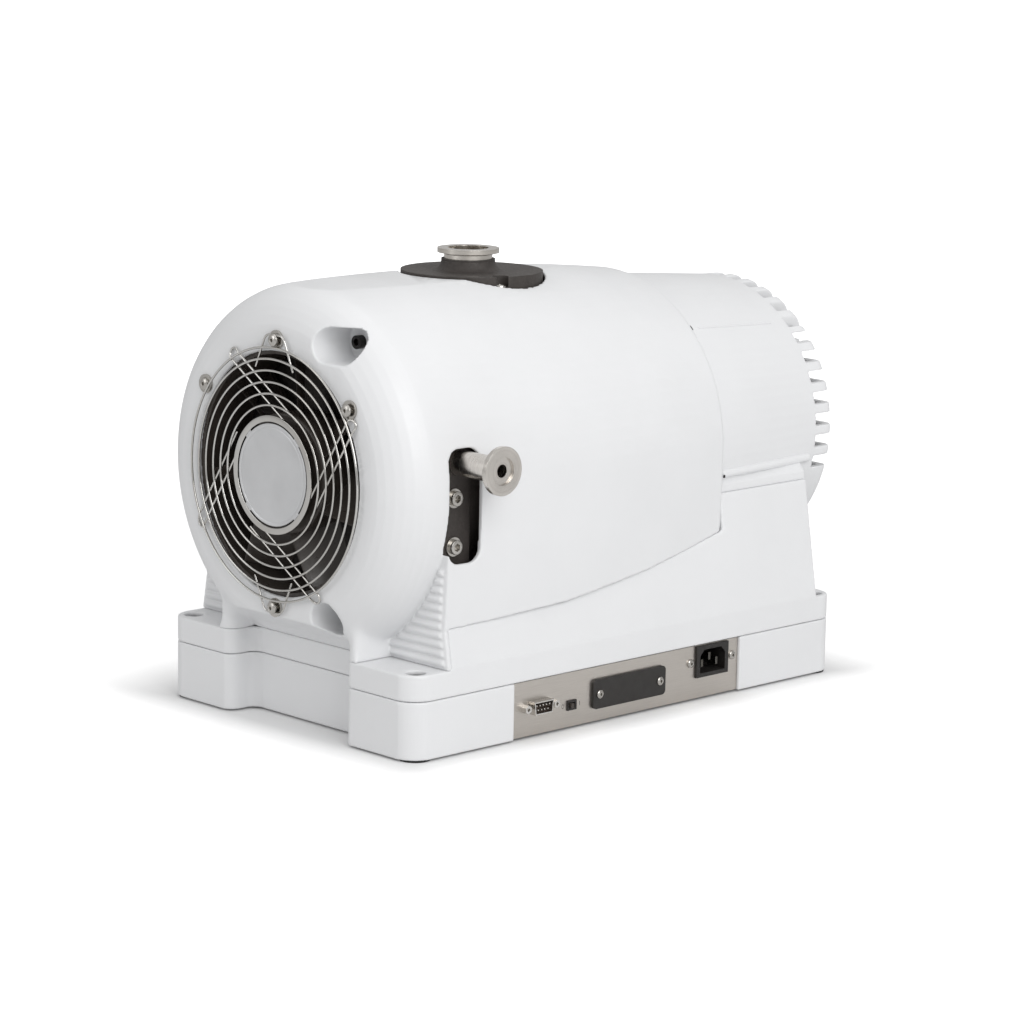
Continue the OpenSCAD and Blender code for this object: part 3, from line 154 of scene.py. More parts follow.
# Screws: the head's radius and height, and the radii of the recess and the shank
GUARD_SCREW = (0.0039, 0.0021, 0.0011, 0.002)
GUARD_SHANK = 0.0035
PANEL_SCREW = (0.0029, 0.0018, 0.0009, 0.0013)
EXHAUST_SCREW = (0.0046, 0.003, 0.0022, 0.0024)
PORT_SCREW = (0.0041, 0.002, 0.0012, 0.002)
PORT_SHANK = 0.012
SHORT_SHANK = 0.003
PANEL_X = 0.1162
PANEL_SCREW_PAIRS = ((0.002, -0.0062, 0.0554, 0.0195), (0.0, 0.0722, 0.04, 0.026))
BLOCK_X = 0.1075
EXHAUST_SCREW_Y = -0.154
EXHAUST_SCREW_ZS = (0.1585, 0.1285)

# Ports
PORT_Y = -0.0428
PORT_PLATE_Z = 0.28
PORT_SCREW_PLACE = (0.0402, -0.0526)
PORT_SCREW_Z = 0.273
EXHAUST_CENTRE = (0.0, -0.1505, 0.18)
NECK_R = 0.0174
FLARE_R = 0.0062
FLARE_SINK = 0.0004

# Switch marks
MARK_GAP = 0.0035
MARK_HALF_T = 0.00003
MARK_RING_R = 0.0011
MARK_RING_HALF = 0.00018
MARK_BAR_UP = 0.0014
MARK_BAR_HALF = 0.00022

# Covers, and the boxes where the front cover's foot is softened: low corner, high corner and fade
SHELLS = {
    "front_cover": "fan_cover_shell",
    "pedestal_cover": "pedestal_shell",
    "rear_cover": "rear_shell",
    "base_tray": "tray_shell",
}
SEAM_CLOSE = 0.0002
COVER_TRIANGLES = 190000
SOFT_ROUNDS = 110
SOFT_BOXES = {
    "front_cover": (
        ((0.042, -0.206, 0.0545), (0.08, -0.168, 0.1), 0.008),
        ((-0.08, -0.206, 0.0545), (-0.042, -0.168, 0.1), 0.008),
    ),
}

# Camera, floor and lamps; a lamp has its place, its aim, its size and its power
CAMERA_PLACE = (1.57683, -1.53340, 0.52983)
CAMERA_TURN = 45.79
CAMERA_RISE = 10.66
CAMERA_ROLL = -1.0
CAMERA_LENS = 118.86
# The floor's camera-only glow stays low round the footprint, which paints a soft contact shadow. Each foot
# entry gives a low end, its share, a high end and its share; a smaller share stretches the painted shadow
# further on that side.
SHADOW_FOOT_X = (-0.118, 0.45, 0.118, 1.0)
SHADOW_FOOT_Y = (-0.195, 1.0, 0.195, 0.6)
PAINTED_SHADOW_REACH = 0.035
FAR_GLOW_START = 0.1
FAR_GLOW_END = 1.0
FAR_GLOW = 0.6
PAINTED_SHADOW_GLOW_RANGE = (0.06, 0.5)
SKY_LIGHT = 0.5
FLOOR_R = 60.0
FLOOR_COLOUR = (0.76, 0.76, 0.76, 1)
LAMPS = (
    ("key", (1.9, -0.55, 1.25), (0.0, 0.0, 0.15), 1.5, 25.0),
    ("front", (-0.75, -2.1, 0.95), (0.0, -0.1, 0.15), 1.2, 6.5),
    ("top", (0.1, 0.2, 1.9), (0.0, 0.0, 0.15), 1.8, 7.8),
)


# Sizes and colours that a user would change


class PumpSizes(bpy.types.PropertyGroup):
    """Sizes of the pieces that are made here."""

    wire_width: bpy.props.FloatProperty(
        name="Guard wire",
        description="Thickness of the guard's wire",
        default=0.0015,
        min=0.0012,
        max=0.0024,
        unit="LENGTH",
    )
    blade_count: bpy.props.IntProperty(
        name="Fan blades", description="Number of fan blades", default=7, min=5, max=9
    )
    blade_lean: bpy.props.FloatProperty(
        name="Blade lean",
        description="Lean of a blade at its tip",
        default=math.radians(38),
        min=0.4,
        max=0.9,
        unit="ROTATION",
    )
    cell: bpy.props.FloatProperty(
        name="Cover cell",
        description="Cell size of the remeshed covers",
        default=0.0008,
        min=0.0006,
        max=0.003,
        unit="LENGTH",
    )
    edge_rounds: bpy.props.IntProperty(
        name="Edge rounds", description="Smoothing rounds on the covers' edges", default=3, min=0, max=30
    )


class PumpColours(bpy.types.PropertyGroup):
    """Colours of the main finishes, as linear light."""

    casing: bpy.props.FloatVectorProperty(
        name="Casing",
        description="Moulded covers",
        default=(0.8, 0.805, 0.815),
        min=0,
        max=1,
        subtype="COLOR",
    )
    black: bpy.props.FloatVectorProperty(
        name="Black parts",
        description="Black moulded parts",
        default=(0.02, 0.0175, 0.016),
        min=0,
        max=1,
        subtype="COLOR",
    )
    casting: bpy.props.FloatVectorProperty(
        name="Casting",
        description="Dark pump castings",
        default=(0.066, 0.057, 0.052),
        min=0,
        max=1,
        subtype="COLOR",
    )
    panel: bpy.props.FloatVectorProperty(
        name="Panel",
        description="Brushed connector panel",
        default=(0.64, 0.6, 0.555),
        min=0,
        max=1,
        subtype="COLOR",
    )
    disc: bpy.props.FloatVectorProperty(
        name="Guard disc",
        description="Lacquered disc in the guard",
        default=(0.69, 0.695, 0.705),
        min=0,
        max=1,
        subtype="COLOR",
    )


# Shader node groups and finishes


def feed(target, value):
    """Joins a socket to an input, or sets the input's value."""
    if isinstance(value, bpy.types.NodeSocket):
        target.id_data.links.new(value, target)
    else:
        target.default_value = value


def fill(node, values):
    """Sets a node's inputs and properties by name."""
    for name, value in values.items():
        if name in node.inputs:
            feed(node.inputs[name], value)
        else:
            setattr(node, name, value)
    return node


def add(tree, kind, **values):
    """A new node with its inputs and properties."""
    return fill(tree.nodes.new("ShaderNode" + kind), values)


def maths(tree, operation, first, second):
    """A maths node whose two inputs are sockets or numbers."""
    node = add(tree, "Math", operation=operation)
    feed(node.inputs[0], first)
    feed(node.inputs[1], second)
    return node.outputs[0]


def times(tree, first, second):
    """The product of two sockets or numbers."""
    return maths(tree, "MULTIPLY", first, second)


def ramp(tree, value, low, high, to_low=0.0, to_high=1.0):
    """A clamped straight ramp of a value from one range to another."""
    ends = {"From Min": low, "From Max": high, "To Min": to_low, "To Max": to_high}
    return add(tree, "MapRange", Value=value, **ends).outputs["Result"]


def mixed(tree, share, first, second):
    """A colour between two colours, each a socket or an RGB triple."""
    node = add(tree, "Mix", data_type="RGBA")
    for number, value in ((0, share), (6, first), (7, second)):
        feed(node.inputs[number], (*value, 1) if isinstance(value, tuple) else value)
    return node.outputs[2]


def split(tree, vector):
    """The three parts of a vector, by their names."""
    return add(tree, "SeparateXYZ", Vector=vector).outputs


def hypotenuse(tree, first, second):
    """The root of the sum of two squares."""
    squares = [maths(tree, "POWER", value, 2.0) for value in (first, second)]
    return maths(tree, "SQRT", maths(tree, "ADD", *squares), 0.0)


def new_group(name, inputs, outputs):
    """An empty shader node group with named sockets, and its two end nodes."""
    tree = bpy.data.node_groups.new(name, "ShaderNodeTree")
    for label, kind, default in inputs:
        socket = tree.interface.new_socket(name=label, in_out="INPUT", socket_type=kind)
        if default is not None:
            socket.default_value = default
    for label, kind in outputs:
        tree.interface.new_socket(name=label, in_out="OUTPUT", socket_type=kind)
    return tree, tree.nodes.new("NodeGroupInput"), tree.nodes.new("NodeGroupOutput")


VALUE = "NodeSocketFloat"
VECTOR = "NodeSocketVector"
SKIN_OUTPUTS = ("Tone", "Height", "Gloss")
WEAR_SHARE = 0.5
GLOSS_SPREAD = 0.08
DUST_COLOUR = (0.5, 0.48, 0.45)


def noise(tree, vector, scale, detail=3.0, roughness=0.55):
    """A noise value on a vector; the scale is in waves per metre."""
    return add(tree, "TexNoise", Vector=vector, Scale=scale, Detail=detail, Roughness=roughness).outputs[0]


def start_skin(name, scale):
    """A skin's group: a vector and a scale go in, and a tone, a height and a gloss come out."""
    inputs = [("Vector", VECTOR, None), ("Scale", VALUE, scale)]
    tree, start, end = new_group(name, inputs, [(label, VALUE) for label in SKIN_OUTPUTS])
    return tree, start.outputs["Vector"], start.outputs["Scale"], end


def end_skin(tree, end, *results):
    """Joins a skin's three results to its group's outputs."""
    fill(end, dict(zip(SKIN_OUTPUTS, results)))
    return tree


def grain():
    """Moulded grain: fine noise for the surface, a broad one for tone, and one between for gloss."""
    tree, vector, scale, end = start_skin("moulded grain", 900.0)
    fine = noise(tree, vector, scale, 4.0)
    broad = noise(tree, vector, times(tree, scale, 0.012))
    middle = noise(tree, vector, times(tree, scale, 0.09))
    height = maths(tree, "ADD", fine, times(tree, middle, 0.6))
    return end_skin(tree, end, ramp(tree, broad, 0.3, 0.7), height, ramp(tree, middle, 0.3, 0.7))


def cast():
    """Sand-cast skin: rounded pits from cells, over lumps from noise."""
    tree, vector, scale, end = start_skin("cast skin", 500.0)
    pits = add(tree, "TexVoronoi", feature="SMOOTH_F1", Vector=vector, Scale=scale).outputs["Distance"]
    lumps = noise(tree, vector, times(tree, scale, 0.3), 5.0, 0.6)
    height = maths(tree, "ADD", pits, lumps)
    return end_skin(tree, end, ramp(tree, lumps, 0.3, 0.7), height, ramp(tree, pits, 0.1, 0.8))


def brushed():
    """Brushed lines: noise stretched along the first axis of its vector, with a broad clouding."""
    tree, vector, scale, end = start_skin("brushed lines", 2600.0)
    stretched = add(tree, "VectorMath", operation="MULTIPLY")
    feed(stretched.inputs[0], vector)
    feed(stretched.inputs[1], (0.012, 1.0, 1.0))
    lines = noise(tree, stretched.outputs[0], scale, 3.0, 0.7)
    cloud = noise(tree, vector, 18.0)
    tone = maths(tree, "ADD", times(tree, lines, 0.75), times(tree, cloud, 0.25))
    return end_skin(tree, end, ramp(tree, tone, 0.32, 0.68), lines, ramp(tree, tone, 0.3, 0.7))


def turned():
    """Lathe-turned lines: noise on the distance from its vector's third axis and on the height along it."""
    tree, vector, scale, end = start_skin("turned lines", 2200.0)
    parts = split(tree, vector)
    ring = add(tree, "CombineXYZ", X=hypotenuse(tree, parts["X"], parts["Y"]), Y=parts["Z"])
    lines = noise(tree, ring.outputs[0], scale, 3.0, 0.65)
    cloud = noise(tree, vector, 60.0)
    tone = maths(tree, "ADD", times(tree, lines, 0.6), times(tree, cloud, 0.4))
    share = ramp(tree, tone, 0.3, 0.7)
    return end_skin(tree, end, share, lines, share)


def rounded_edges():
    """Rounded-edge normal over a radius, and a mask of where it leaves the flat one."""
    outputs = [("Normal", VECTOR), ("Edge", VALUE)]
    tree, start, end = new_group("rounded edges", [("Radius", VALUE, 0.0005)], outputs)
    bevel = add(tree, "Bevel", samples=4, Radius=start.outputs["Radius"]).outputs[0]
    dot = add(tree, "VectorMath", operation="DOT_PRODUCT")
    feed(dot.inputs[0], bevel)
    feed(dot.inputs[1], add(tree, "NewGeometry").outputs["Normal"])
    fill(end, {"Normal": bevel, "Edge": ramp(tree, dot.outputs["Value"], 0.98, 0.78)})
    return tree


def edge_wear():
    """Patches of wear on an edge mask, broken up by noise."""
    inputs = [("Vector", VECTOR, None), ("Edge", VALUE, 0.0), ("Amount", VALUE, 0.4)]
    tree, start, end = new_group("edge wear", inputs, [("Mask", VALUE)])
    patches = ramp(tree, noise(tree, start.outputs["Vector"], 160.0, 4.0), 0.38, 0.66)
    mask = times(tree, start.outputs["Edge"], patches)
    feed(end.inputs["Mask"], times(tree, mask, start.outputs["Amount"]))
    return tree


def settled_dust():
    """Dust on what faces up, thicker towards the foot, in soft clouds."""
    inputs = [("Vector", VECTOR, None), ("Amount", VALUE, 0.1)]
    tree, start, end = new_group("settled dust", inputs, [("Mask", VALUE)])
    vector = start.outputs["Vector"]
    up = ramp(tree, split(tree, add(tree, "NewGeometry").outputs["Normal"])["Z"], 0.2, 1.0)
    low = ramp(tree, split(tree, vector)["Z"], 0.0, 0.12, 1.0, 0.45)
    clouds = ramp(tree, noise(tree, vector, 22.0, 5.0), 0.35, 0.75)
    share = times(tree, clouds, start.outputs["Amount"])
    feed(end.inputs["Mask"], times(tree, times(tree, up, low), share))
    return tree


groups = {}
finishes = {}


def group_node(tree, maker, **values):
    """A node that uses a maker's group, made the first time it is asked for."""
    if maker not in groups:
        groups[maker] = maker()
    return add(tree, "Group", node_tree=groups[maker], **values)


def make_finish(
    name,
    colour,
    second,
    worn,
    rough,
    metal=0.0,
    pattern=grain,
    scale=900.0,
    depth=0.00002,
    edge=0.0003,
    dust=0.0,
    turn=(0.0, 0.0, 0.0),
    centre=(0.0, 0.0, 0.0),
    specular=0.5,
    coat=0.0,
    anisotropy=0.0,
):
    """A finish: two colours mixed by a pattern, brighter worn edges, dust, uneven gloss and a bumped normal.

    Where edge is 0 the piece's own curvature gives the edge mask, and its own normal carries the bump.
    """
    material = bpy.data.materials.new(name)
    material.use_nodes = True
    tree = material.node_tree
    place = add(tree, "TexCoord").outputs["Object"]
    mapping = add(tree, "Mapping", vector_type="TEXTURE", Location=centre, Rotation=turn, Vector=place)
    skin = group_node(tree, pattern, Vector=mapping.outputs[0], Scale=scale)
    tone = mixed(tree, skin.outputs["Tone"], colour, second)
    bump = add(tree, "Bump", Strength=1.0, Distance=depth, Height=skin.outputs["Height"])
    if edge > 0:
        rounded = group_node(tree, rounded_edges, Radius=edge)
        feed(bump.inputs["Normal"], rounded.outputs["Normal"])
        mask = rounded.outputs["Edge"]
    else:
        mask = ramp(tree, add(tree, "NewGeometry").outputs["Pointiness"], 0.53, 0.6)
    rub = group_node(tree, edge_wear, Vector=place, Edge=mask, Amount=WEAR_SHARE)
    tone = mixed(tree, rub.outputs["Mask"], tone, worn)
    if dust > 0:
        film = group_node(tree, settled_dust, Vector=place, Amount=dust)
        tone = mixed(tree, film.outputs["Mask"], tone, DUST_COLOUR)
    low, high = rough - GLOSS_SPREAD, rough + GLOSS_SPREAD
    values = {
        "Base Color": tone,
        "Roughness": ramp(tree, skin.outputs["Gloss"], 0.0, 1.0, low, high),
        "Normal": bump.outputs["Normal"],
        "Metallic": metal,
        "Specular IOR Level": specular,
        "Coat Weight": coat,
        "Anisotropic": anisotropy,
    }
    fill(tree.nodes["Principled BSDF"], values)
    finishes[name] = material


def scaled(colour, share):
    """A colour made darker or lighter by a share."""
    return tuple(min(c * share, 1.0) for c in colour)


def make_finishes(colours):
    """Every finish of the pump."""
    casing, black, casting = tuple(colours.casing), tuple(colours.black), tuple(colours.casting)
    panel, disc = tuple(colours.panel), tuple(colours.disc)
    quarter = math.radians(90)
    lathe = {"pattern": turned, "edge": 0.0004}
    shaft = {"pattern": turned, "centre": (0.0, 0.0, AXIS_Z), "turn": (quarter, 0.0, 0.0)}
    make_finish(
        "moulded casing", casing, scaled(casing, 0.975), scaled(casing, 1.06), 0.42,
        scale=1500.0, depth=0.000012, edge=0, dust=0.05,
    )
    make_finish(
        "guard disc lacquer", disc, scaled(disc, 0.84), scaled(disc, 1.3), 0.4, 0.55,
        scale=1900.0, depth=0.00001,
    )
    make_finish(
        "chromed wire", (0.72, 0.71, 0.69), (0.5, 0.48, 0.45), (0.85, 0.84, 0.82), 0.12, 1.0,
        scale=1200.0, depth=0.000006, edge=0,
    )
    make_finish(
        "nickel fastener", (0.62, 0.6, 0.57), (0.42, 0.4, 0.37), (0.8, 0.78, 0.74), 0.24, 1.0, scale=1400.0
    )
    make_finish(
        "black socket screw", (0.03, 0.028, 0.027), (0.018, 0.017, 0.017), (0.25, 0.24, 0.23), 0.34, 0.7,
        scale=1600.0,
    )
    make_finish(
        "black fan plastic", (0.042, 0.034, 0.029), (0.06, 0.05, 0.043), scaled(black, 3.0), 0.34,
        scale=1300.0, edge=0.0004, dust=0.05,
    )
    make_finish(
        "black moulding", scaled(black, 0.75), scaled(black, 1.1), scaled(black, 3.0), 0.45,
        scale=2000.0, edge=0.0004, dust=0.03,
    )
    make_finish(
        "pump casting", casting, scaled(casting, 0.72), (0.25, 0.24, 0.23), 0.6, 0.25, cast,
        scale=620.0, depth=0.00012, edge=0.0009, dust=0.12,
    )
    make_finish(
        "inlet steel", (0.88, 0.83, 0.765), (0.58, 0.545, 0.5), (0.8, 0.78, 0.75), 0.2, 1.0,
        depth=0.000006, centre=(0.0, PORT_Y, 0.0), **lathe,
    )
    make_finish(
        "exhaust steel", (0.76, 0.725, 0.68), (0.55, 0.52, 0.485), (0.8, 0.78, 0.75), 0.25, 1.0,
        depth=0.000006, centre=EXHAUST_CENTRE, turn=(0.0, quarter, 0.0), **lathe,
    )
    make_finish(
        "brushed panel", panel, scaled(panel, 0.86), scaled(panel, 1.5), 0.34, 1.0, brushed,
        scale=5200.0, depth=0.000004, edge=0.0004, turn=(0.0, 0.0, quarter), anisotropy=0.35,
    )
    make_finish(
        "zinc plate", (0.46, 0.46, 0.45), (0.36, 0.36, 0.34), (0.62, 0.61, 0.6), 0.4, 1.0,
        scale=300.0, edge=0.0005, dust=0.1,
    )
    make_finish(
        "rubber", (0.022, 0.022, 0.023), (0.034, 0.033, 0.032), (0.06, 0.058, 0.055), 0.75,
        scale=1100.0, depth=0.00004, edge=0.0006, dust=0.1, specular=0.3,
    )
    make_finish(
        "cast alloy", (0.42, 0.42, 0.41), (0.33, 0.33, 0.32), (0.6, 0.6, 0.58), 0.5, 0.85, cast,
        scale=700.0, depth=0.00008, edge=0.0008,
    )
    make_finish(
        "machined alloy", (0.56, 0.56, 0.55), (0.45, 0.45, 0.44), (0.72, 0.72, 0.7), 0.3, 1.0,
        depth=0.000008, edge=0.0004, **shaft,
    )
    make_finish(
        "ground steel", (0.5, 0.49, 0.48), (0.38, 0.37, 0.36), (0.75, 0.74, 0.72), 0.22, 1.0,
        depth=0.000005, **shaft,
    )
    make_finish(
        "stacked sheet steel", (0.24, 0.235, 0.23), (0.13, 0.125, 0.12), (0.45, 0.44, 0.42), 0.45, 0.9,
        brushed, scale=1500.0, depth=0.00003, edge=0.0004,
    )
    make_finish(
        "copper enamel", (0.5, 0.2, 0.07), (0.36, 0.12, 0.04), (0.7, 0.34, 0.14), 0.3, 0.8, brushed,
        depth=0.00012, edge=0.0008, coat=0.4,
    )
    make_finish("bearing bronze", (0.45, 0.28, 0.12), (0.35, 0.2, 0.08), (0.65, 0.45, 0.22), 0.32, 1.0)
    make_finish("tip seal", (0.62, 0.6, 0.55), (0.52, 0.49, 0.43), (0.7, 0.69, 0.66), 0.55, scale=1200.0)
    make_finish(
        "board lacquer", (0.02, 0.11, 0.045), (0.014, 0.075, 0.03), (0.3, 0.27, 0.14), 0.3,
        scale=500.0, edge=0.0002, coat=0.3,
    )
    make_finish("board parts", (0.03, 0.03, 0.034), (0.05, 0.05, 0.055), (0.2, 0.2, 0.2), 0.4, scale=1500.0)
    # Mains inlet pins: the contact metal is darkened to paint the shade deep in the inlet's recess.
    make_finish(
        "contact darkened as painted shade", (0.16, 0.15, 0.135), (0.1, 0.095, 0.085), (0.7, 0.68, 0.64), 0.3, 1.0, scale=1500.0
    )
    make_finish(
        "brown insulator", (0.05, 0.03, 0.02), (0.035, 0.021, 0.014), (0.1, 0.07, 0.05), 0.45, scale=1500.0
    )
    make_finish(
        "connector shell", (0.8, 0.78, 0.75), (0.62, 0.6, 0.57), (0.82, 0.81, 0.79), 0.22, 1.0,
        scale=1500.0, edge=0.0004,
    )
    make_finish(
        "mark paint", (0.05, 0.045, 0.04), (0.08, 0.075, 0.07), (0.2, 0.19, 0.18), 0.5, scale=2500.0, edge=0
    )


# Each finish, and the solids that keep their shape and get it
NODE_FINISHES = {
    "zinc plate": "chassis_plate cover_posts support_frame",
    "rubber": "rubber_feet case_seal shaft_seal isolators",
    "black socket screw": "cover_screws case_screws",
    "nickel fastener": "guard_washers exhaust_washers",
    "black fan plastic": "fan_frame fan_motor switch_slider",
    "pump casting": "fixed_scroll pump_housing",
    "tip seal": "fixed_tip_seal orbiting_tip_seal",
    "machined alloy": "orbiting_scroll",
    "inlet steel": "inlet_flange",
    "exhaust steel": "exhaust_pipe",
    "ground steel": "crankshaft crank_bearing_outer crank_bearing_inner front_bearing_outer"
    " front_bearing_inner rear_bearing_outer rear_bearing_inner"
    " idler_crank_top idler_crank_right idler_crank_left",
    "bearing bronze": "counterweight idler_bushes",
    "cast alloy": "motor_housing motor_end_bell",
    "stacked sheet steel": "motor_stator motor_rotor",
    "copper enamel": "motor_windings",
    "brushed panel": "control_panel",
    "board lacquer": "control_board",
    "board parts": "board_parts",
    "connector shell": "dsub_shell dsub_pins jackscrews",
    "brown insulator": "dsub_insert",
    "black moulding": "switch_body blank_plate power_inlet",
    # The inlet pins' dark contact paints the shade of their recess.
    "contact darkened as painted shade": "inlet_pins",
}


# Surfaces


def all_round(count):
    """Evenly spaced angles all the way round."""
    return np.linspace(0, 2 * np.pi, count, endpoint=False)


def squared(value, power):
    """A sine or cosine drawn towards its ends by a power, which squares a round section."""
    return np.sign(value) * np.abs(value) ** power


def grid_faces(rows, columns, rows_close, columns_close):
    """Four-cornered faces between the rows and columns of a grid, carried round where a direction closes."""
    row = np.arange(rows if rows_close else rows - 1)
    column = np.arange(columns if columns_close else columns - 1)
    r, c = np.meshgrid(row, column, indexing="ij")
    after_r, after_c = (r + 1) % rows, (c + 1) % columns
    corners = [r * columns + c, after_r * columns + c, after_r * columns + after_c, r * columns + after_c]
    return np.stack(corners, -1).reshape(-1, 4)


def surface(points, rows_close=False, columns_close=False, cap_rows=False):
    """Points on a grid, with their faces; cap_rows closes the first and the last row with a face."""
    rows, columns = points.shape[:2]
    faces = grid_faces(rows, columns, rows_close, columns_close).tolist()
    if cap_rows:
        faces.append(list(range(columns)))
        faces.append(list(range((rows - 1) * columns, rows * columns)))
    return points.reshape(-1, 3), faces


def carried(x, y, z, closed=False):
    """A closed section carried along a line: rows along the line, columns round the section."""
    return surface(np.stack(np.broadcast_arrays(x, y, z), -1), closed, True, not closed)


def turned_surface(radii, heights, steps, centre=(0.0, AXIS_Z), rows_close=False, axis=1):
    """A profile turned about a line along an axis: across = r cos t, up = r sin t, along = its own height.

    The radii are one for each row, or one for each row and step where the section isn't round.
    """
    angle = all_round(steps)
    radii, heights = np.asarray(radii, float), np.asarray(heights, float)
    if radii.ndim == 1:
        radii = radii[:, None]
    first, second = [i for i in range(3) if i != axis]
    points = np.empty((len(heights), steps, 3))
    points[..., first] = centre[0] + radii * np.cos(angle)
    points[..., second] = centre[1] + radii * np.sin(angle)
    points[..., axis] = heights[:, None]
    return surface(points, rows_close, True)


def socket_screw(base, out, head, height, socket, shank, end):
    """Radii and heights of a socket screw: a hexagon's floor and walls, an eased rim, a side and a shank.

    A hexagon's reach is half its width over the cosine of the angle from the nearest flat's middle.
    """
    angle = all_round(48)
    six = socket / np.cos((angle + np.pi / 6) % (np.pi / 3) - np.pi / 6)
    whole = np.ones(48)
    rim = [head - 0.0005, head - 0.00018, head, head, shank, shank, 0.0]
    radii = np.stack([0 * whole, 0.9 * six, six, six, 1.06 * six] + [r * whole for r in rim])
    share = np.array([-0.4, -0.4, -0.34, 0.93, 1.0, 1.0, 0.95, 0.86, 0.0, 0.0])
    heights = np.concatenate([base + out * height * share, [end, end]])
    return radii, heights


def pan_screw(base, out, head, height, recess, shank, end):
    """Radii and heights of a domed screw: its crown falls with the cube of the radius round a recess."""
    dome = np.linspace(recess * 1.25, head * 0.96, 11)
    crown = 1.0 - 0.5 * (dome / head) ** 3
    radii = np.concatenate([[0.0, recess * 0.8, recess], dome, [head, head, shank, shank, 0.0]])
    share = np.concatenate([[0.1, 0.1, 0.92], crown, [0.36, 0.0, 0.0]])
    heights = np.concatenate([base + out * height * share, [end, end]])
    return radii, heights


def swept_tube(path, radius, sides=12, closed=False, ends=4):
    """A round tube along a path: each point has a circle across the path, and open ends are domed.

    The circle's first axis lies across the path and Y, so the path may not run along Y.
    """
    if closed:
        ahead = np.roll(path, -1, 0) - np.roll(path, 1, 0)
    else:
        ahead = np.gradient(path, axis=0)
    ahead /= np.linalg.norm(ahead, axis=1)[:, None]
    radii = np.full(len(path), float(radius))
    if not closed:
        dome = np.linspace(np.pi / 2, 0, ends, endpoint=False)
        first = path[0] - ahead[0] * (radius * np.sin(dome))[:, None]
        last = path[-1] + ahead[-1] * (radius * np.sin(dome[::-1]))[:, None]
        small = np.maximum(radius * np.cos(dome), radius * 0.02)
        path = np.concatenate([first, path, last])
        radii = np.concatenate([small, radii, small[::-1]])
        ahead = np.concatenate([np.repeat(ahead[:1], ends, 0), ahead, np.repeat(ahead[-1:], ends, 0)])
    across = np.cross(ahead, (0.0, 1.0, 0.0))
    across /= np.linalg.norm(across, axis=1)[:, None]
    above = np.cross(across, ahead)
    turn = all_round(sides)
    ring = np.cos(turn)[:, None] * across[:, None] + np.sin(turn)[:, None] * above[:, None]
    points = path[:, None] + ring * radii[:, None, None]
    return surface(points, closed, True, not closed)


def eased_path(corners, step, reach):
    """Evenly spaced points on the line through the corners, its bends eased by a running mean, run twice."""
    corners = np.asarray(corners, float)
    lengths = np.concatenate([[0], np.cumsum(np.linalg.norm(np.diff(corners, axis=0), axis=1))])
    count = max(int(lengths[-1] / step), 8)
    along = np.linspace(0, lengths[-1], count)
    path = np.stack([np.interp(along, lengths, corners[:, i]) for i in range(3)], 1)
    half = max(int(reach / step / 2), 1)
    window = np.ones(2 * half + 1) / (2 * half + 1)
    for _ in range(2):
        before = 2 * path[0] - path[half:0:-1]
        after = 2 * path[-1] - path[-2 : -half - 2 : -1]
        padded = np.concatenate([before, path, after])
        path = np.stack([np.convolve(padded[:, i], window, "valid") for i in range(3)], 1)
    return path


def smooth_step(value, low, high):
    """A share that eases from 0 at low to 1 at high."""
    t = np.clip((value - low) / (high - low), 0, 1)
    return t * t * (3 - 2 * t)


def make_piece(name, parts, finish, body, crease=40.0, replaced=()):
    """One mesh object from several surfaces, its doubles merged and its faces turned outwards."""
    vertices, faces, first = [], [], 0
    for points, quads in parts:
        vertices.append(points)
        faces.extend([[first + i for i in face] for face in quads])
        first += len(points)
    mesh = bpy.data.meshes.new(name)
    mesh.from_pydata(np.concatenate(vertices).tolist(), [], faces)
    sculpt = bmesh.new()
    sculpt.from_mesh(mesh)
    bmesh.ops.remove_doubles(sculpt, verts=sculpt.verts, dist=0.000002)
    bmesh.ops.recalc_face_normals(sculpt, faces=sculpt.faces)
    sculpt.to_mesh(mesh)
    sculpt.free()
    place_piece(name, mesh, finish, body, crease, replaced)


def put(name, data):
    """A new object in the scene."""
    item = bpy.data.objects.new(name, data)
    bpy.context.scene.collection.objects.link(item)
    return item


def place_piece(name, mesh, finish, body, crease, replaced):
    """Puts a mesh in the scene with its finish, shading and body, and hides the solids that it stands for."""
    mesh.shade_smooth()
    mesh.set_sharp_from_angle(angle=math.radians(crease))
    mesh.materials.clear()
    mesh.materials.append(finishes[finish])
    piece = put(name, mesh)
    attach(piece, body)
    if replaced:
        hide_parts(*replaced)


# Covers


def vertex_places(mesh, what="co"):
    """The places or the normals of a mesh's vertices."""
    values = np.empty(3 * len(mesh.vertices))
    mesh.vertices.foreach_get(what, values)
    return values.reshape(-1, 3)


def move_vertices(mesh, places):
    """Sets the places of a mesh's vertices."""
    mesh.vertices.foreach_set("co", places.ravel())
    mesh.update()


def grow_mesh(mesh, share, box):
    """Moves every vertex out along its normal by the same distance, but never out of the solid's own box."""
    places = vertex_places(mesh) + share * vertex_places(mesh, "normal")
    low, high = box
    move_vertices(mesh, np.clip(places, tuple(low), tuple(high)))


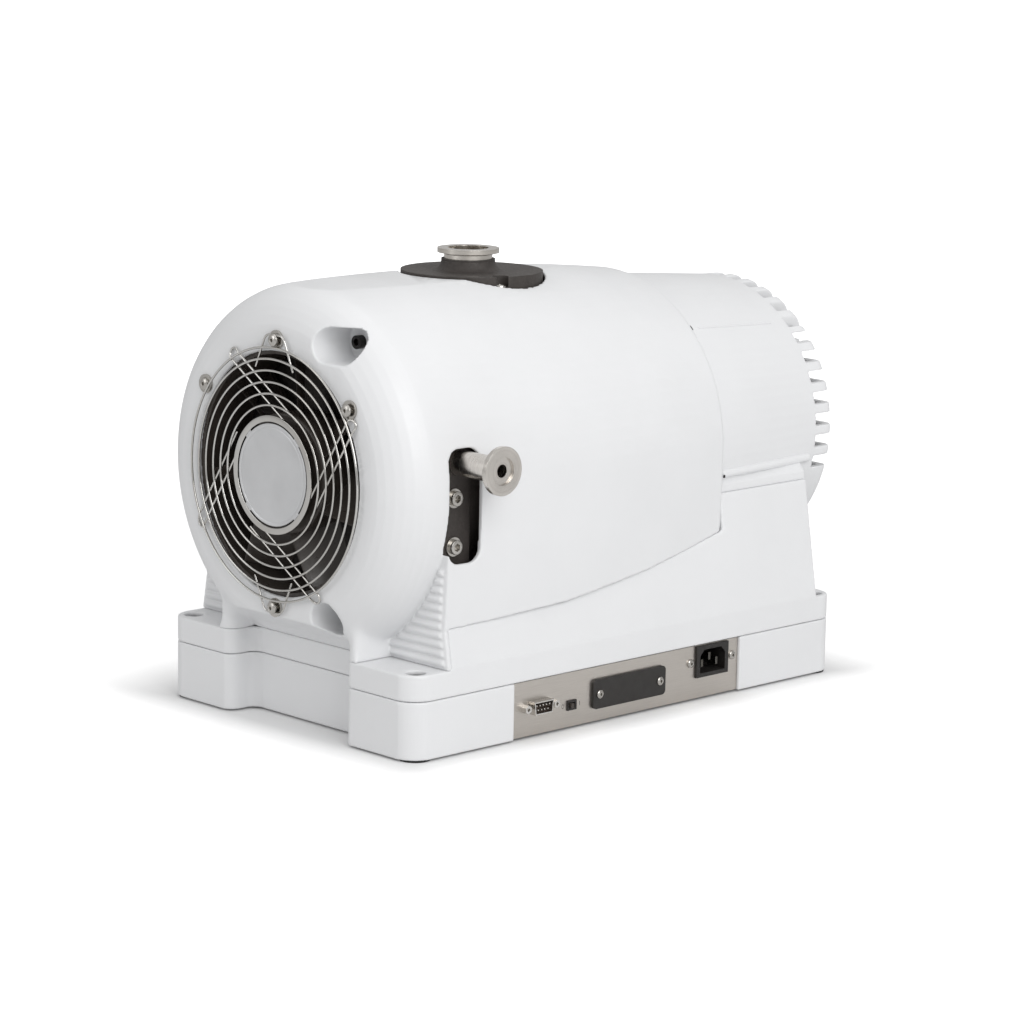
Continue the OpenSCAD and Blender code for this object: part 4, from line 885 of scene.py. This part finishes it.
def soften_mesh(mesh, boxes):
    """Draws the vertices inside some boxes towards the mean of their neighbours, round after round.

    The pull starts at nothing on a box's sides and reaches its full share a fade's width inside.
    """
    places = vertex_places(mesh)
    count = len(places)
    share = np.zeros(count)
    for low, high, fade in boxes:
        depth = np.concatenate([places - low, np.array(high) - places], 1).min(1)
        share = np.maximum(share, smooth_step(depth, 0.0, fade))
    ends = np.empty(2 * len(mesh.edges), int)
    mesh.edges.foreach_get("vertices", ends)
    ends = ends.reshape(-1, 2)
    here, there = np.concatenate([ends, ends[:, ::-1]]).T
    kept = share[here] > 0
    here, there = here[kept], there[kept]
    moved = np.unique(here)
    row = np.full(count, -1)
    row[moved] = np.arange(len(moved))
    row = row[here]
    number = np.bincount(row, minlength=len(moved))
    for _ in range(SOFT_ROUNDS):
        for axis in range(3):
            mean = np.bincount(row, places[there, axis], len(moved)) / number
            places[moved, axis] += 0.5 * share[moved] * (mean - places[moved, axis])
    move_vertices(mesh, places)


def applied(work):
    """A new mesh of an object with its modifiers applied."""
    return bpy.data.meshes.new_from_object(work.evaluated_get(bpy.context.evaluated_depsgraph_get()))


def rounded_cover(node, name, cell, rounds):
    """A moulded cover from its solid: remeshed in small cells, edges eased, grown, thinned to a budget."""
    work = put(name + "_work", frame["nodes"][node].data.copy())
    weld = work.modifiers.new("weld", "WELD")
    weld.merge_threshold = 0.00001
    cells = work.modifiers.new("cells", "REMESH")
    cells.mode = "VOXEL"
    cells.voxel_size = cell
    ease = work.modifiers.new("ease", "SMOOTH")
    ease.factor = 0.5
    ease.iterations = rounds
    mesh = applied(work)
    if node in SOFT_BOXES:
        soften_mesh(mesh, SOFT_BOXES[node])
    grow_mesh(mesh, SEAM_CLOSE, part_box(node))
    work.modifiers.clear()
    work.data = mesh
    count = 2 * len(mesh.polygons)
    if count > COVER_TRIANGLES:
        thin = work.modifiers.new("thin", "DECIMATE")
        thin.ratio = COVER_TRIANGLES / count
        mesh = applied(work)
    bpy.data.objects.remove(work)
    mesh.name = name
    grow_mesh(mesh, 0.0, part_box(node))
    place_piece(name, mesh, "moulded casing", "casing", 180.0, (node,))


class DressCovers(bpy.types.Operator):
    """Makes the four moulded covers with rounded edges."""

    bl_idname = "pump.dress_covers"
    bl_label = "Moulded covers"

    def execute(self, context):
        sizes = context.scene.pump_sizes
        for node, name in SHELLS.items():
            rounded_cover(node, name, sizes.cell, sizes.edge_rounds)
        return {"FINISHED"}


class TrimRear(bpy.types.Operator):
    """Makes the soft bead over the rear cover's foot, the raised line above it, and two dark blocks that
    paint the shade inside the clip notches.
    """

    bl_idname = "pump.trim_rear"
    bl_label = "Rear trim"

    def execute(self, context):
        bead = swept_tube(eased_path(BEAD_POINTS, 0.002, 0.01), BEAD_R, 24, ends=8)
        ridge = swept_tube(eased_path(RIDGE_POINTS, 0.002, 0.01), RIDGE_R, 16, ends=8)
        make_piece("rear_trim_lines", [bead, ridge], "moulded casing", "casing", 180.0)
        # The notches are dark blocks in black moulding, which paint the shade inside the clip slots.
        notches = [self.notch(*place) for place in NOTCH_PLACES]
        make_piece("clip_notch_painted_shade", notches, "black moulding", "casing")
        return {"FINISHED"}

    def notch(self, place, normal, half):
        """A small rounded block let into the cover: a ball whose three reaches differ, squared by a power.
        Its dark finish paints the shade inside a clip notch.
        """
        turn = all_round(24)
        rise = np.linspace(-np.pi / 2, np.pi / 2, 13)[1:-1]
        ahead = np.array(normal, float)
        ahead /= np.linalg.norm(ahead)
        along = np.cross((0.0, 1.0, 0.0), ahead)
        along /= np.linalg.norm(along)
        ring = squared(np.cos(rise), NOTCH_POWER)[:, None, None]
        above = np.cross(ahead, along)
        points = np.array(place) + half * ring * squared(np.cos(turn), NOTCH_POWER)[:, None] * along
        points = points + NOTCH_HALF * ring * squared(np.sin(turn), NOTCH_POWER)[:, None] * above
        points = points + NOTCH_DEPTH * squared(np.sin(rise), NOTCH_POWER)[:, None, None] * ahead
        return surface(points, False, True, True)


# Guard


def strut_loop(angle, radius):
    """One hairpin of the guard: out along one side, half round the tip, back along the other.

    Its tip leans back by an eased step of the distance from the hub.
    """
    u = math.radians(angle + STRUT_TURN)
    along = np.array([-math.cos(u), -math.sin(u)])
    side = np.array([-math.sin(u), math.cos(u)])
    reach = math.sqrt(STRUT_TIP_R**2 - STRUT_NEAR**2)
    half = (STRUT_FAR - STRUT_NEAR) / 2
    out = np.linspace(STRUT_START_R, reach - half, 90)
    turn = np.linspace(-np.pi / 2, np.pi / 2, 22)[1:-1]
    near = out[:, None] * along + STRUT_NEAR * side
    bend = (reach - half + half * np.cos(turn))[:, None] * along
    bend = bend + (STRUT_NEAR + half + half * np.sin(turn))[:, None] * side
    far = out[::-1, None] * along + STRUT_FAR * side
    flat = np.concatenate([near, bend, far])
    lean = STRUT_LEAN * smooth_step(np.linalg.norm(flat, axis=1), *STRUT_LEAN_R)
    path = np.stack([flat[:, 0], STRUT_PLANE_Y + lean, AXIS_Z + flat[:, 1]], 1)
    return swept_tube(path, radius)


def screw_clip(sign, radius):
    """A bent wire that holds the guard at its top or bottom screw: two splayed legs and a rounded bridge."""
    corners = [(x, STRUT_PLANE_Y, AXIS_Z + sign * up) for x, up in CLIP_CORNERS]
    return swept_tube(eased_path(corners, 0.0005, 0.004), radius * CLIP_WIRE_SHARE)


def wire_ring(ring_radius, radius):
    """A closed ring of wire: a circle of points about the fan's axis, with a round section."""
    angle = all_round(160)
    x, z = ring_radius * np.cos(angle), AXIS_Z + ring_radius * np.sin(angle)
    return swept_tube(np.stack([x, RING_PLANE_Y + 0 * angle, z], 1), radius, closed=True)


def rounded_section(inner, outer, front, rear, round_by, steps=6):
    """A closed profile with rounded corners, from an inner to an outer radius and a front to a rear."""
    turn = np.linspace(0, np.pi / 2, steps)
    corners = (
        (inner + round_by, front + round_by, np.pi),
        (outer - round_by, front + round_by, 1.5 * np.pi),
        (outer - round_by, rear - round_by, 0.0),
        (inner + round_by, rear - round_by, 0.5 * np.pi),
    )
    radii = np.concatenate([r + round_by * np.cos(start + turn) for r, _, start in corners])
    heights = np.concatenate([y + round_by * np.sin(start + turn) for _, y, start in corners])
    return radii, heights


class MakeGuard(bpy.types.Operator):
    """Makes the wire guard: rings, hairpin struts, screw clips and the flat hub ring."""

    bl_idname = "pump.make_guard"
    bl_label = "Wire guard"

    def execute(self, context):
        radius = context.scene.pump_sizes.wire_width / 2
        parts = [wire_ring(RING_FIRST_R + RING_STEP * i, radius) for i in range(RING_COUNT)]
        parts += [strut_loop(angle, radius) for angle in STRUT_ANGLES]
        parts += [screw_clip(sign, radius) for sign in (-1, 1)]
        front, rear = RING_PLANE_Y - HUB_RING_HALF, RING_PLANE_Y + HUB_RING_HALF
        section = rounded_section(HUB_RING_INNER_R, HUB_RING_OUTER_R, front, rear, HUB_RING_EASE)
        parts.append(turned_surface(*section, 160, rows_close=True))
        make_piece("wire_guard", parts, "chromed wire", "casing", 60.0, ("fan_guard",))
        return {"FINISHED"}


class MakeGuardDisc(bpy.types.Operator):
    """Makes the pressed disc: a shallow crown, a rolled rim and four tabs to the hub ring."""

    bl_idname = "pump.make_guard_disc"
    bl_label = "Guard disc"

    def execute(self, context):
        radii, heights = self.profile()
        parts = [turned_surface(radii, heights, 144)]
        parts += [self.tab(math.radians(angle)) for angle in TAB_ANGLES]
        make_piece("guard_disc_plate", parts, "guard disc lacquer", "casing", 35.0, ("guard_disc",))
        return {"FINISHED"}

    def profile(self):
        """The front crowned with the square of r, a groove near the rim, a half round rim and a flat back."""
        r = np.linspace(0, DISC_CROWN_R, 14)
        front = RING_PLANE_Y - DISC_FRONT + DISC_CROWN * (r / DISC_CROWN_R) ** 2
        groove = RING_PLANE_Y - DISC_GROOVE + np.array(DISC_GROOVE_RISE)
        turn = np.linspace(-np.pi / 2, np.pi / 2, 9)
        rim_r = DISC_RIM_R + DISC_RIM_HALF * np.cos(turn)
        rim_y = RING_PLANE_Y + 0.00002 + DISC_RIM_HALF * np.sin(turn)
        radii = np.concatenate([r, DISC_GROOVE_R, rim_r, [0.0306, 0.015, 0.0]])
        heights = np.concatenate([front, groove, rim_y, np.full(3, RING_PLANE_Y + DISC_REAR)])
        return radii, heights

    def tab(self, angle):
        """A flat tab with a rounded section, from under the disc's rim to just short of the hub ring."""
        along = np.linspace(*TAB_REACH, 5)[:, None]
        turn = all_round(24)
        across = TAB_HALF_WIDTH * squared(np.cos(turn), TAB_POWER)
        x = along * math.sin(angle) + across * math.cos(angle)
        y = RING_PLANE_Y + TAB_HALF_T * squared(np.sin(turn), TAB_POWER)
        z = AXIS_Z + along * math.cos(angle) - across * math.sin(angle)
        return carried(x, y, z)


class MakeScrews(bpy.types.Operator):
    """Makes the guard's, the panel's and the inlet's domed screws, and the exhaust's socket screws."""

    bl_idname = "pump.make_screws"
    bl_label = "Screws"

    def execute(self, context):
        self.guard()
        self.panel()
        self.exhaust()
        profile = pan_screw(PORT_SCREW_Z, 1, *PORT_SCREW, PORT_SCREW_Z - PORT_SHANK)
        head = turned_surface(*profile, 32, PORT_SCREW_PLACE, axis=2)
        self.heads("port_screw_head", [head], "steel", "port_screw")
        return {"FINISHED"}

    def heads(self, name, parts, slot, node):
        """One piece from a row of screws."""
        make_piece(name, parts, "nickel fastener", "casing", 30.0, (node,))

    def guard(self):
        """Four broad heads that stand on the washers or on the wire over them."""
        parts = []
        for angle, lift in GUARD_SCREW_PLACES:
            x = GUARD_SCREW_CIRCLE * math.cos(math.radians(angle))
            z = AXIS_Z + GUARD_SCREW_CIRCLE * math.sin(math.radians(angle))
            profile = pan_screw(NOSE_Y - WASHER_T - lift, -1, *GUARD_SCREW, NOSE_Y + GUARD_SHANK)
            parts.append(turned_surface(*profile, 40, (x, z)))
        self.heads("guard_screw_heads", parts, "steel", "guard_screws")

    def panel(self):
        """Two heads on the blank plate and two beside the mains inlet."""
        parts = []
        for face, middle, pitch, z in PANEL_SCREW_PAIRS:
            profile = pan_screw(PANEL_X + face, 1, *PANEL_SCREW, PANEL_X - SHORT_SHANK)
            for side in (-1, 1):
                parts.append(turned_surface(*profile, 32, (middle + side * pitch / 2, z), axis=0))
        self.heads("panel_screw_heads", parts, "dark_metal", "panel_screws")

    def exhaust(self):
        """Two socket heads over the washers on the discharge block."""
        profile = socket_screw(BLOCK_X + WASHER_T, 1, *EXHAUST_SCREW, BLOCK_X - SHORT_SHANK)
        parts = [turned_surface(*profile, 48, (EXHAUST_SCREW_Y, z), axis=0) for z in EXHAUST_SCREW_ZS]
        self.heads("exhaust_screw_heads", parts, "steel", "exhaust_screws")


class FlarePort(bpy.types.Operator):
    """Makes the hollow-edged flare at the foot of the inlet neck."""

    bl_idname = "pump.flare_port"
    bl_label = "Port flare"

    def execute(self, context):
        turn = np.linspace(0, np.pi / 2, 14)
        radii = NECK_R + FLARE_R * (1 - np.cos(turn))
        heights = PORT_PLATE_Z + FLARE_R * (1 - np.sin(turn))
        radii = np.concatenate([[NECK_R - 0.0002], radii, [NECK_R + FLARE_R, NECK_R - 0.0002]])
        foot = PORT_PLATE_Z - FLARE_SINK
        heights = np.concatenate([[PORT_PLATE_Z + FLARE_R], heights, [foot, foot]])
        flare = turned_surface(radii, heights, 96, (0.0, PORT_Y), rows_close=True, axis=2)
        make_piece("port_flare", [flare], "pump casting", "casing", 60.0)
        return {"FINISHED"}


# Fan


class MakeFan(bpy.types.Operator):
    """Makes the fan's rotor: a rounded cup and twisted, cambered blades."""

    bl_idname = "pump.make_fan"
    bl_label = "Fan rotor"

    def execute(self, context):
        sizes = context.scene.pump_sizes
        turn = np.linspace(-np.pi / 2, 0, 7)
        edge = HUB_R - HUB_EASE + HUB_EASE * np.cos(turn)
        walls = [HUB_R, HUB_INSIDE_R, HUB_INSIDE_R, FAN_SHAFT_R, FAN_SHAFT_R, 0.0]
        radii = np.concatenate([[0.0, 0.018], edge, walls])
        front = HUB_FRONT_Y + HUB_EASE + HUB_EASE * np.sin(turn)
        inside = HUB_FRONT_Y + HUB_FLOOR
        rear = [HUB_REAR_Y, HUB_REAR_Y, inside, inside, FAN_SHAFT_Y, FAN_SHAFT_Y]
        heights = np.concatenate([[HUB_FRONT_Y, HUB_FRONT_Y], front, rear])
        parts = [turned_surface(radii, heights, 96)]
        for i in range(sizes.blade_count):
            parts.append(self.blade(2 * math.pi * i / sizes.blade_count, sizes.blade_lean))
        replaced = ("fan_rotor",)
        make_piece("fan_rotor_moulding", parts, "black fan plastic", "fan", 40.0, replaced)
        return {"FINISHED"}

    def blade(self, angle, lean):
        """A thin section carried outwards: its chord leans more at the hub and is bowed by a parabola."""
        reach = np.linspace(HUB_R - 0.001, BLADE_TIP_R, 16)[:, None]
        share = (reach - HUB_R) / (BLADE_TIP_R - HUB_R)
        turn = all_round(40)
        tilt = lean + BLADE_TWIST - BLADE_TWIST * share
        chord = BLADE_DEPTH / np.cos(tilt)
        along = chord * np.cos(turn) / 2
        thick = BLADE_HALF_T * np.sin(turn) * (1.05 - 0.25 * share)
        bow = BLADE_BOW * (1 - (2 * along / chord) ** 2)
        sideways = -np.sin(tilt) * along + np.cos(tilt) * (thick + bow)
        y = (HUB_FRONT_Y + HUB_REAR_Y) / 2 + np.cos(tilt) * along + np.sin(tilt) * (thick + bow)
        swing = angle + sideways / reach
        return carried(reach * np.sin(swing), y, AXIS_Z + reach * np.cos(swing))


# Switch marks


class MarkSwitch(bpy.types.Operator):
    """Marks the switch's two ends with a ring and a bar."""

    bl_idname = "pump.mark_switch"
    bl_label = "Switch marks"

    def execute(self, context):
        low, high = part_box("switch_body")
        z = (low.z + high.z) / 2
        parts = [self.ring(low.y - MARK_GAP, z), self.bar(high.y + MARK_GAP, z)]
        make_piece("switch_marks", parts, "mark paint", "casing")
        return {"FINISHED"}

    def ring(self, y, z):
        """A thin painted ring: a flat rounded section carried round a small upright oval."""
        turn, section = all_round(28)[:, None], all_round(8)
        reach = MARK_RING_R + MARK_RING_HALF * np.cos(section)
        x = PANEL_X + MARK_HALF_T * np.sin(section)
        return carried(x, y + 0.8 * reach * np.cos(turn), z + 1.2 * reach * np.sin(turn), True)

    def bar(self, y, z):
        """A thin painted bar: a flat rounded section carried straight up."""
        up, section = np.linspace(-MARK_BAR_UP, MARK_BAR_UP, 4)[:, None], all_round(12)
        x = PANEL_X + MARK_HALF_T * np.sin(section)
        return carried(x, y + MARK_BAR_HALF * np.cos(section), z + up)


# Finishes on the solids


class FinishSolids(bpy.types.Operator):
    """Makes the finishes and gives every solid that keeps its shape its own."""

    bl_idname = "pump.finish_solids"
    bl_label = "Finishes"

    def execute(self, context):
        make_finishes(context.scene.pump_colours)
        for finish, nodes in NODE_FINISHES.items():
            for node in nodes.split():
                for place in frame["nodes"][node].material_slots:
                    place.material = finishes[finish]
        return {"FINISHED"}


# Stage


def settle(item, place, across, above, back):
    """Puts an object in a place, its own axes along three directions."""
    turn = Matrix(np.stack([across, above, back], 1).tolist()).to_4x4()
    item.matrix_world = Matrix.Translation(place) @ turn


def seen_share(tree):
    """1 for rays that the camera sends, 0 for the rest."""
    return add(tree, "LightPath").outputs["Is Camera Ray"]


class MakeStage(bpy.types.Operator):
    """Sets the floor with its painted contact shadow, the soft lights, the pale background and the camera."""

    bl_idname = "pump.make_stage"
    bl_label = "Stage"

    def execute(self, context):
        scene = context.scene
        self.floor()
        self.world(scene)
        for lamp in LAMPS:
            self.lamp(*lamp)
        self.camera(scene)
        scene.view_settings.view_transform = "Standard"
        return {"FINISHED"}

    def floor(self):
        """A wide round floor: rings of points whose radius grows by the square of their number. Its glow,
        seen only by the camera, whitens it far out and stays low round the pump's footprint, where it paints
        a soft contact shadow.
        """
        reach = FLOOR_R * np.linspace(0.005, 1, 24) ** 2
        angle = all_round(96)
        x = reach[:, None] * np.cos(angle)
        y = reach[:, None] * np.sin(angle)
        points, faces = surface(np.stack([x, y, 0 * x], -1), False, True)
        faces.append(list(range(96)))
        mesh = bpy.data.meshes.new("floor")
        mesh.from_pydata(points.tolist(), [], faces)
        mesh.update()
        material = bpy.data.materials.new("pale floor")
        material.use_nodes = True
        tree = material.node_tree
        values = {"Base Color": FLOOR_COLOUR, "Roughness": 1.0, "Specular IOR Level": 0.0}
        shader = fill(tree.nodes["Principled BSDF"], values)
        parts = split(tree, add(tree, "TexCoord").outputs["Object"])
        across = self.beyond(tree, parts["X"], *SHADOW_FOOT_X)
        along = self.beyond(tree, parts["Y"], *SHADOW_FOOT_Y)
        away = hypotenuse(tree, across, along)
        # Painted contact shadow: the glow is dim at the footprint and rises over a short reach.
        painted_shadow_glow = ramp(tree, away, 0.0, PAINTED_SHADOW_REACH, *PAINTED_SHADOW_GLOW_RANGE)
        far_glow = ramp(tree, away, FAR_GLOW_START, FAR_GLOW_END, 0.0, FAR_GLOW)
        glows_with_painted_shadow = maths(tree, "ADD", painted_shadow_glow, far_glow)
        glow = add(tree, "Emission", Strength=times(tree, seen_share(tree), glows_with_painted_shadow))
        both = add(tree, "AddShader")
        feed(both.inputs[0], shader.outputs[0])
        feed(both.inputs[1], glow.outputs[0])
        feed(tree.nodes["Material Output"].inputs["Surface"], both.outputs[0])
        mesh.materials.append(material)
        put("floor", mesh)

    def beyond(self, tree, value, low, low_share, high, high_share):
        """How far a coordinate lies past its low or high end, each times its own share, which shapes the
        painted shadow.
        """
        under = times(tree, maths(tree, "SUBTRACT", low, value), low_share)
        over = times(tree, maths(tree, "SUBTRACT", value, high), high_share)
        return maths(tree, "MAXIMUM", maths(tree, "MAXIMUM", under, over), 0.0)

    def world(self, scene):
        """Plain soft light from all round, and white where the camera sees it."""
        sky = bpy.data.worlds.new("soft light")
        sky.use_nodes = True
        tree = sky.node_tree
        strength = ramp(tree, seen_share(tree), 0.0, 1.0, SKY_LIGHT)
        fill(tree.nodes["Background"], {"Color": (1, 1, 1, 1), "Strength": strength})
        scene.world = sky

    def lamp(self, name, place, aim, size, power):
        """A square soft light that faces a point."""
        light = bpy.data.lights.new(name, "AREA")
        light.shape = "SQUARE"
        light.size = size
        light.energy = power
        back = np.array(place) - np.array(aim)
        back /= np.linalg.norm(back)
        side = np.cross((0.0, 1.0, 0.0), back)
        side /= np.linalg.norm(side)
        settle(put(name, light), place, side, np.cross(back, side), back)

    def camera(self, scene):
        """The photograph's view."""
        turn, rise, roll = map(math.radians, (CAMERA_TURN, CAMERA_RISE, CAMERA_ROLL))
        back = np.array([math.sin(turn) * math.cos(rise), -math.cos(turn) * math.cos(rise), math.sin(rise)])
        right = np.array([math.cos(turn), math.sin(turn), 0.0])
        up = np.cross(back, right)
        across = math.cos(roll) * right - math.sin(roll) * up
        above = math.sin(roll) * right + math.cos(roll) * up
        lens = bpy.data.cameras.new("camera")
        lens.lens = CAMERA_LENS
        lens.sensor_width = 36.0
        lens.sensor_fit = "HORIZONTAL"
        lens.clip_end = 200.0
        scene.camera = put("camera", lens)
        settle(scene.camera, CAMERA_PLACE, across, above, back)


class PumpPanel(bpy.types.Panel):
    """Lists the sizes, the colours and the operators."""

    bl_idname = "VIEW3D_PT_vacuum_pump"
    bl_label = "Vacuum pump"
    bl_space_type = "VIEW_3D"
    bl_region_type = "UI"
    bl_category = "Vacuum pump"

    def draw(self, context):
        layout = self.layout
        for group in (context.scene.pump_sizes, context.scene.pump_colours):
            box = layout.box()
            for name in group.__annotations__:
                box.prop(group, name)
        for operator in OPERATORS:
            layout.operator(operator.bl_idname)


OPERATORS = (
    FinishSolids,
    DressCovers,
    TrimRear,
    MakeGuard,
    MakeGuardDisc,
    MakeScrews,
    FlarePort,
    MakeFan,
    MarkSwitch,
    MakeStage,
)
CLASSES = (PumpSizes, PumpColours, *OPERATORS, PumpPanel)


def register():
    """Registers the classes, the sizes and the colours."""
    for kind in CLASSES:
        bpy.utils.register_class(kind)
    bpy.types.Scene.pump_sizes = bpy.props.PointerProperty(type=PumpSizes)
    bpy.types.Scene.pump_colours = bpy.props.PointerProperty(type=PumpColours)


def unregister():
    """Takes away what register added."""
    del bpy.types.Scene.pump_sizes
    del bpy.types.Scene.pump_colours
    for kind in reversed(CLASSES):
        bpy.utils.unregister_class(kind)


def main():
    """Registers the classes and makes the pieces in order."""
    register()
    bpy.ops.pump.finish_solids()
    bpy.ops.pump.dress_covers()
    bpy.ops.pump.trim_rear()
    bpy.ops.pump.make_guard()
    bpy.ops.pump.make_guard_disc()
    bpy.ops.pump.make_screws()
    bpy.ops.pump.flare_port()
    bpy.ops.pump.make_fan()
    bpy.ops.pump.mark_switch()
    bpy.ops.pump.make_stage()


if __name__ == "__main__":
    main()
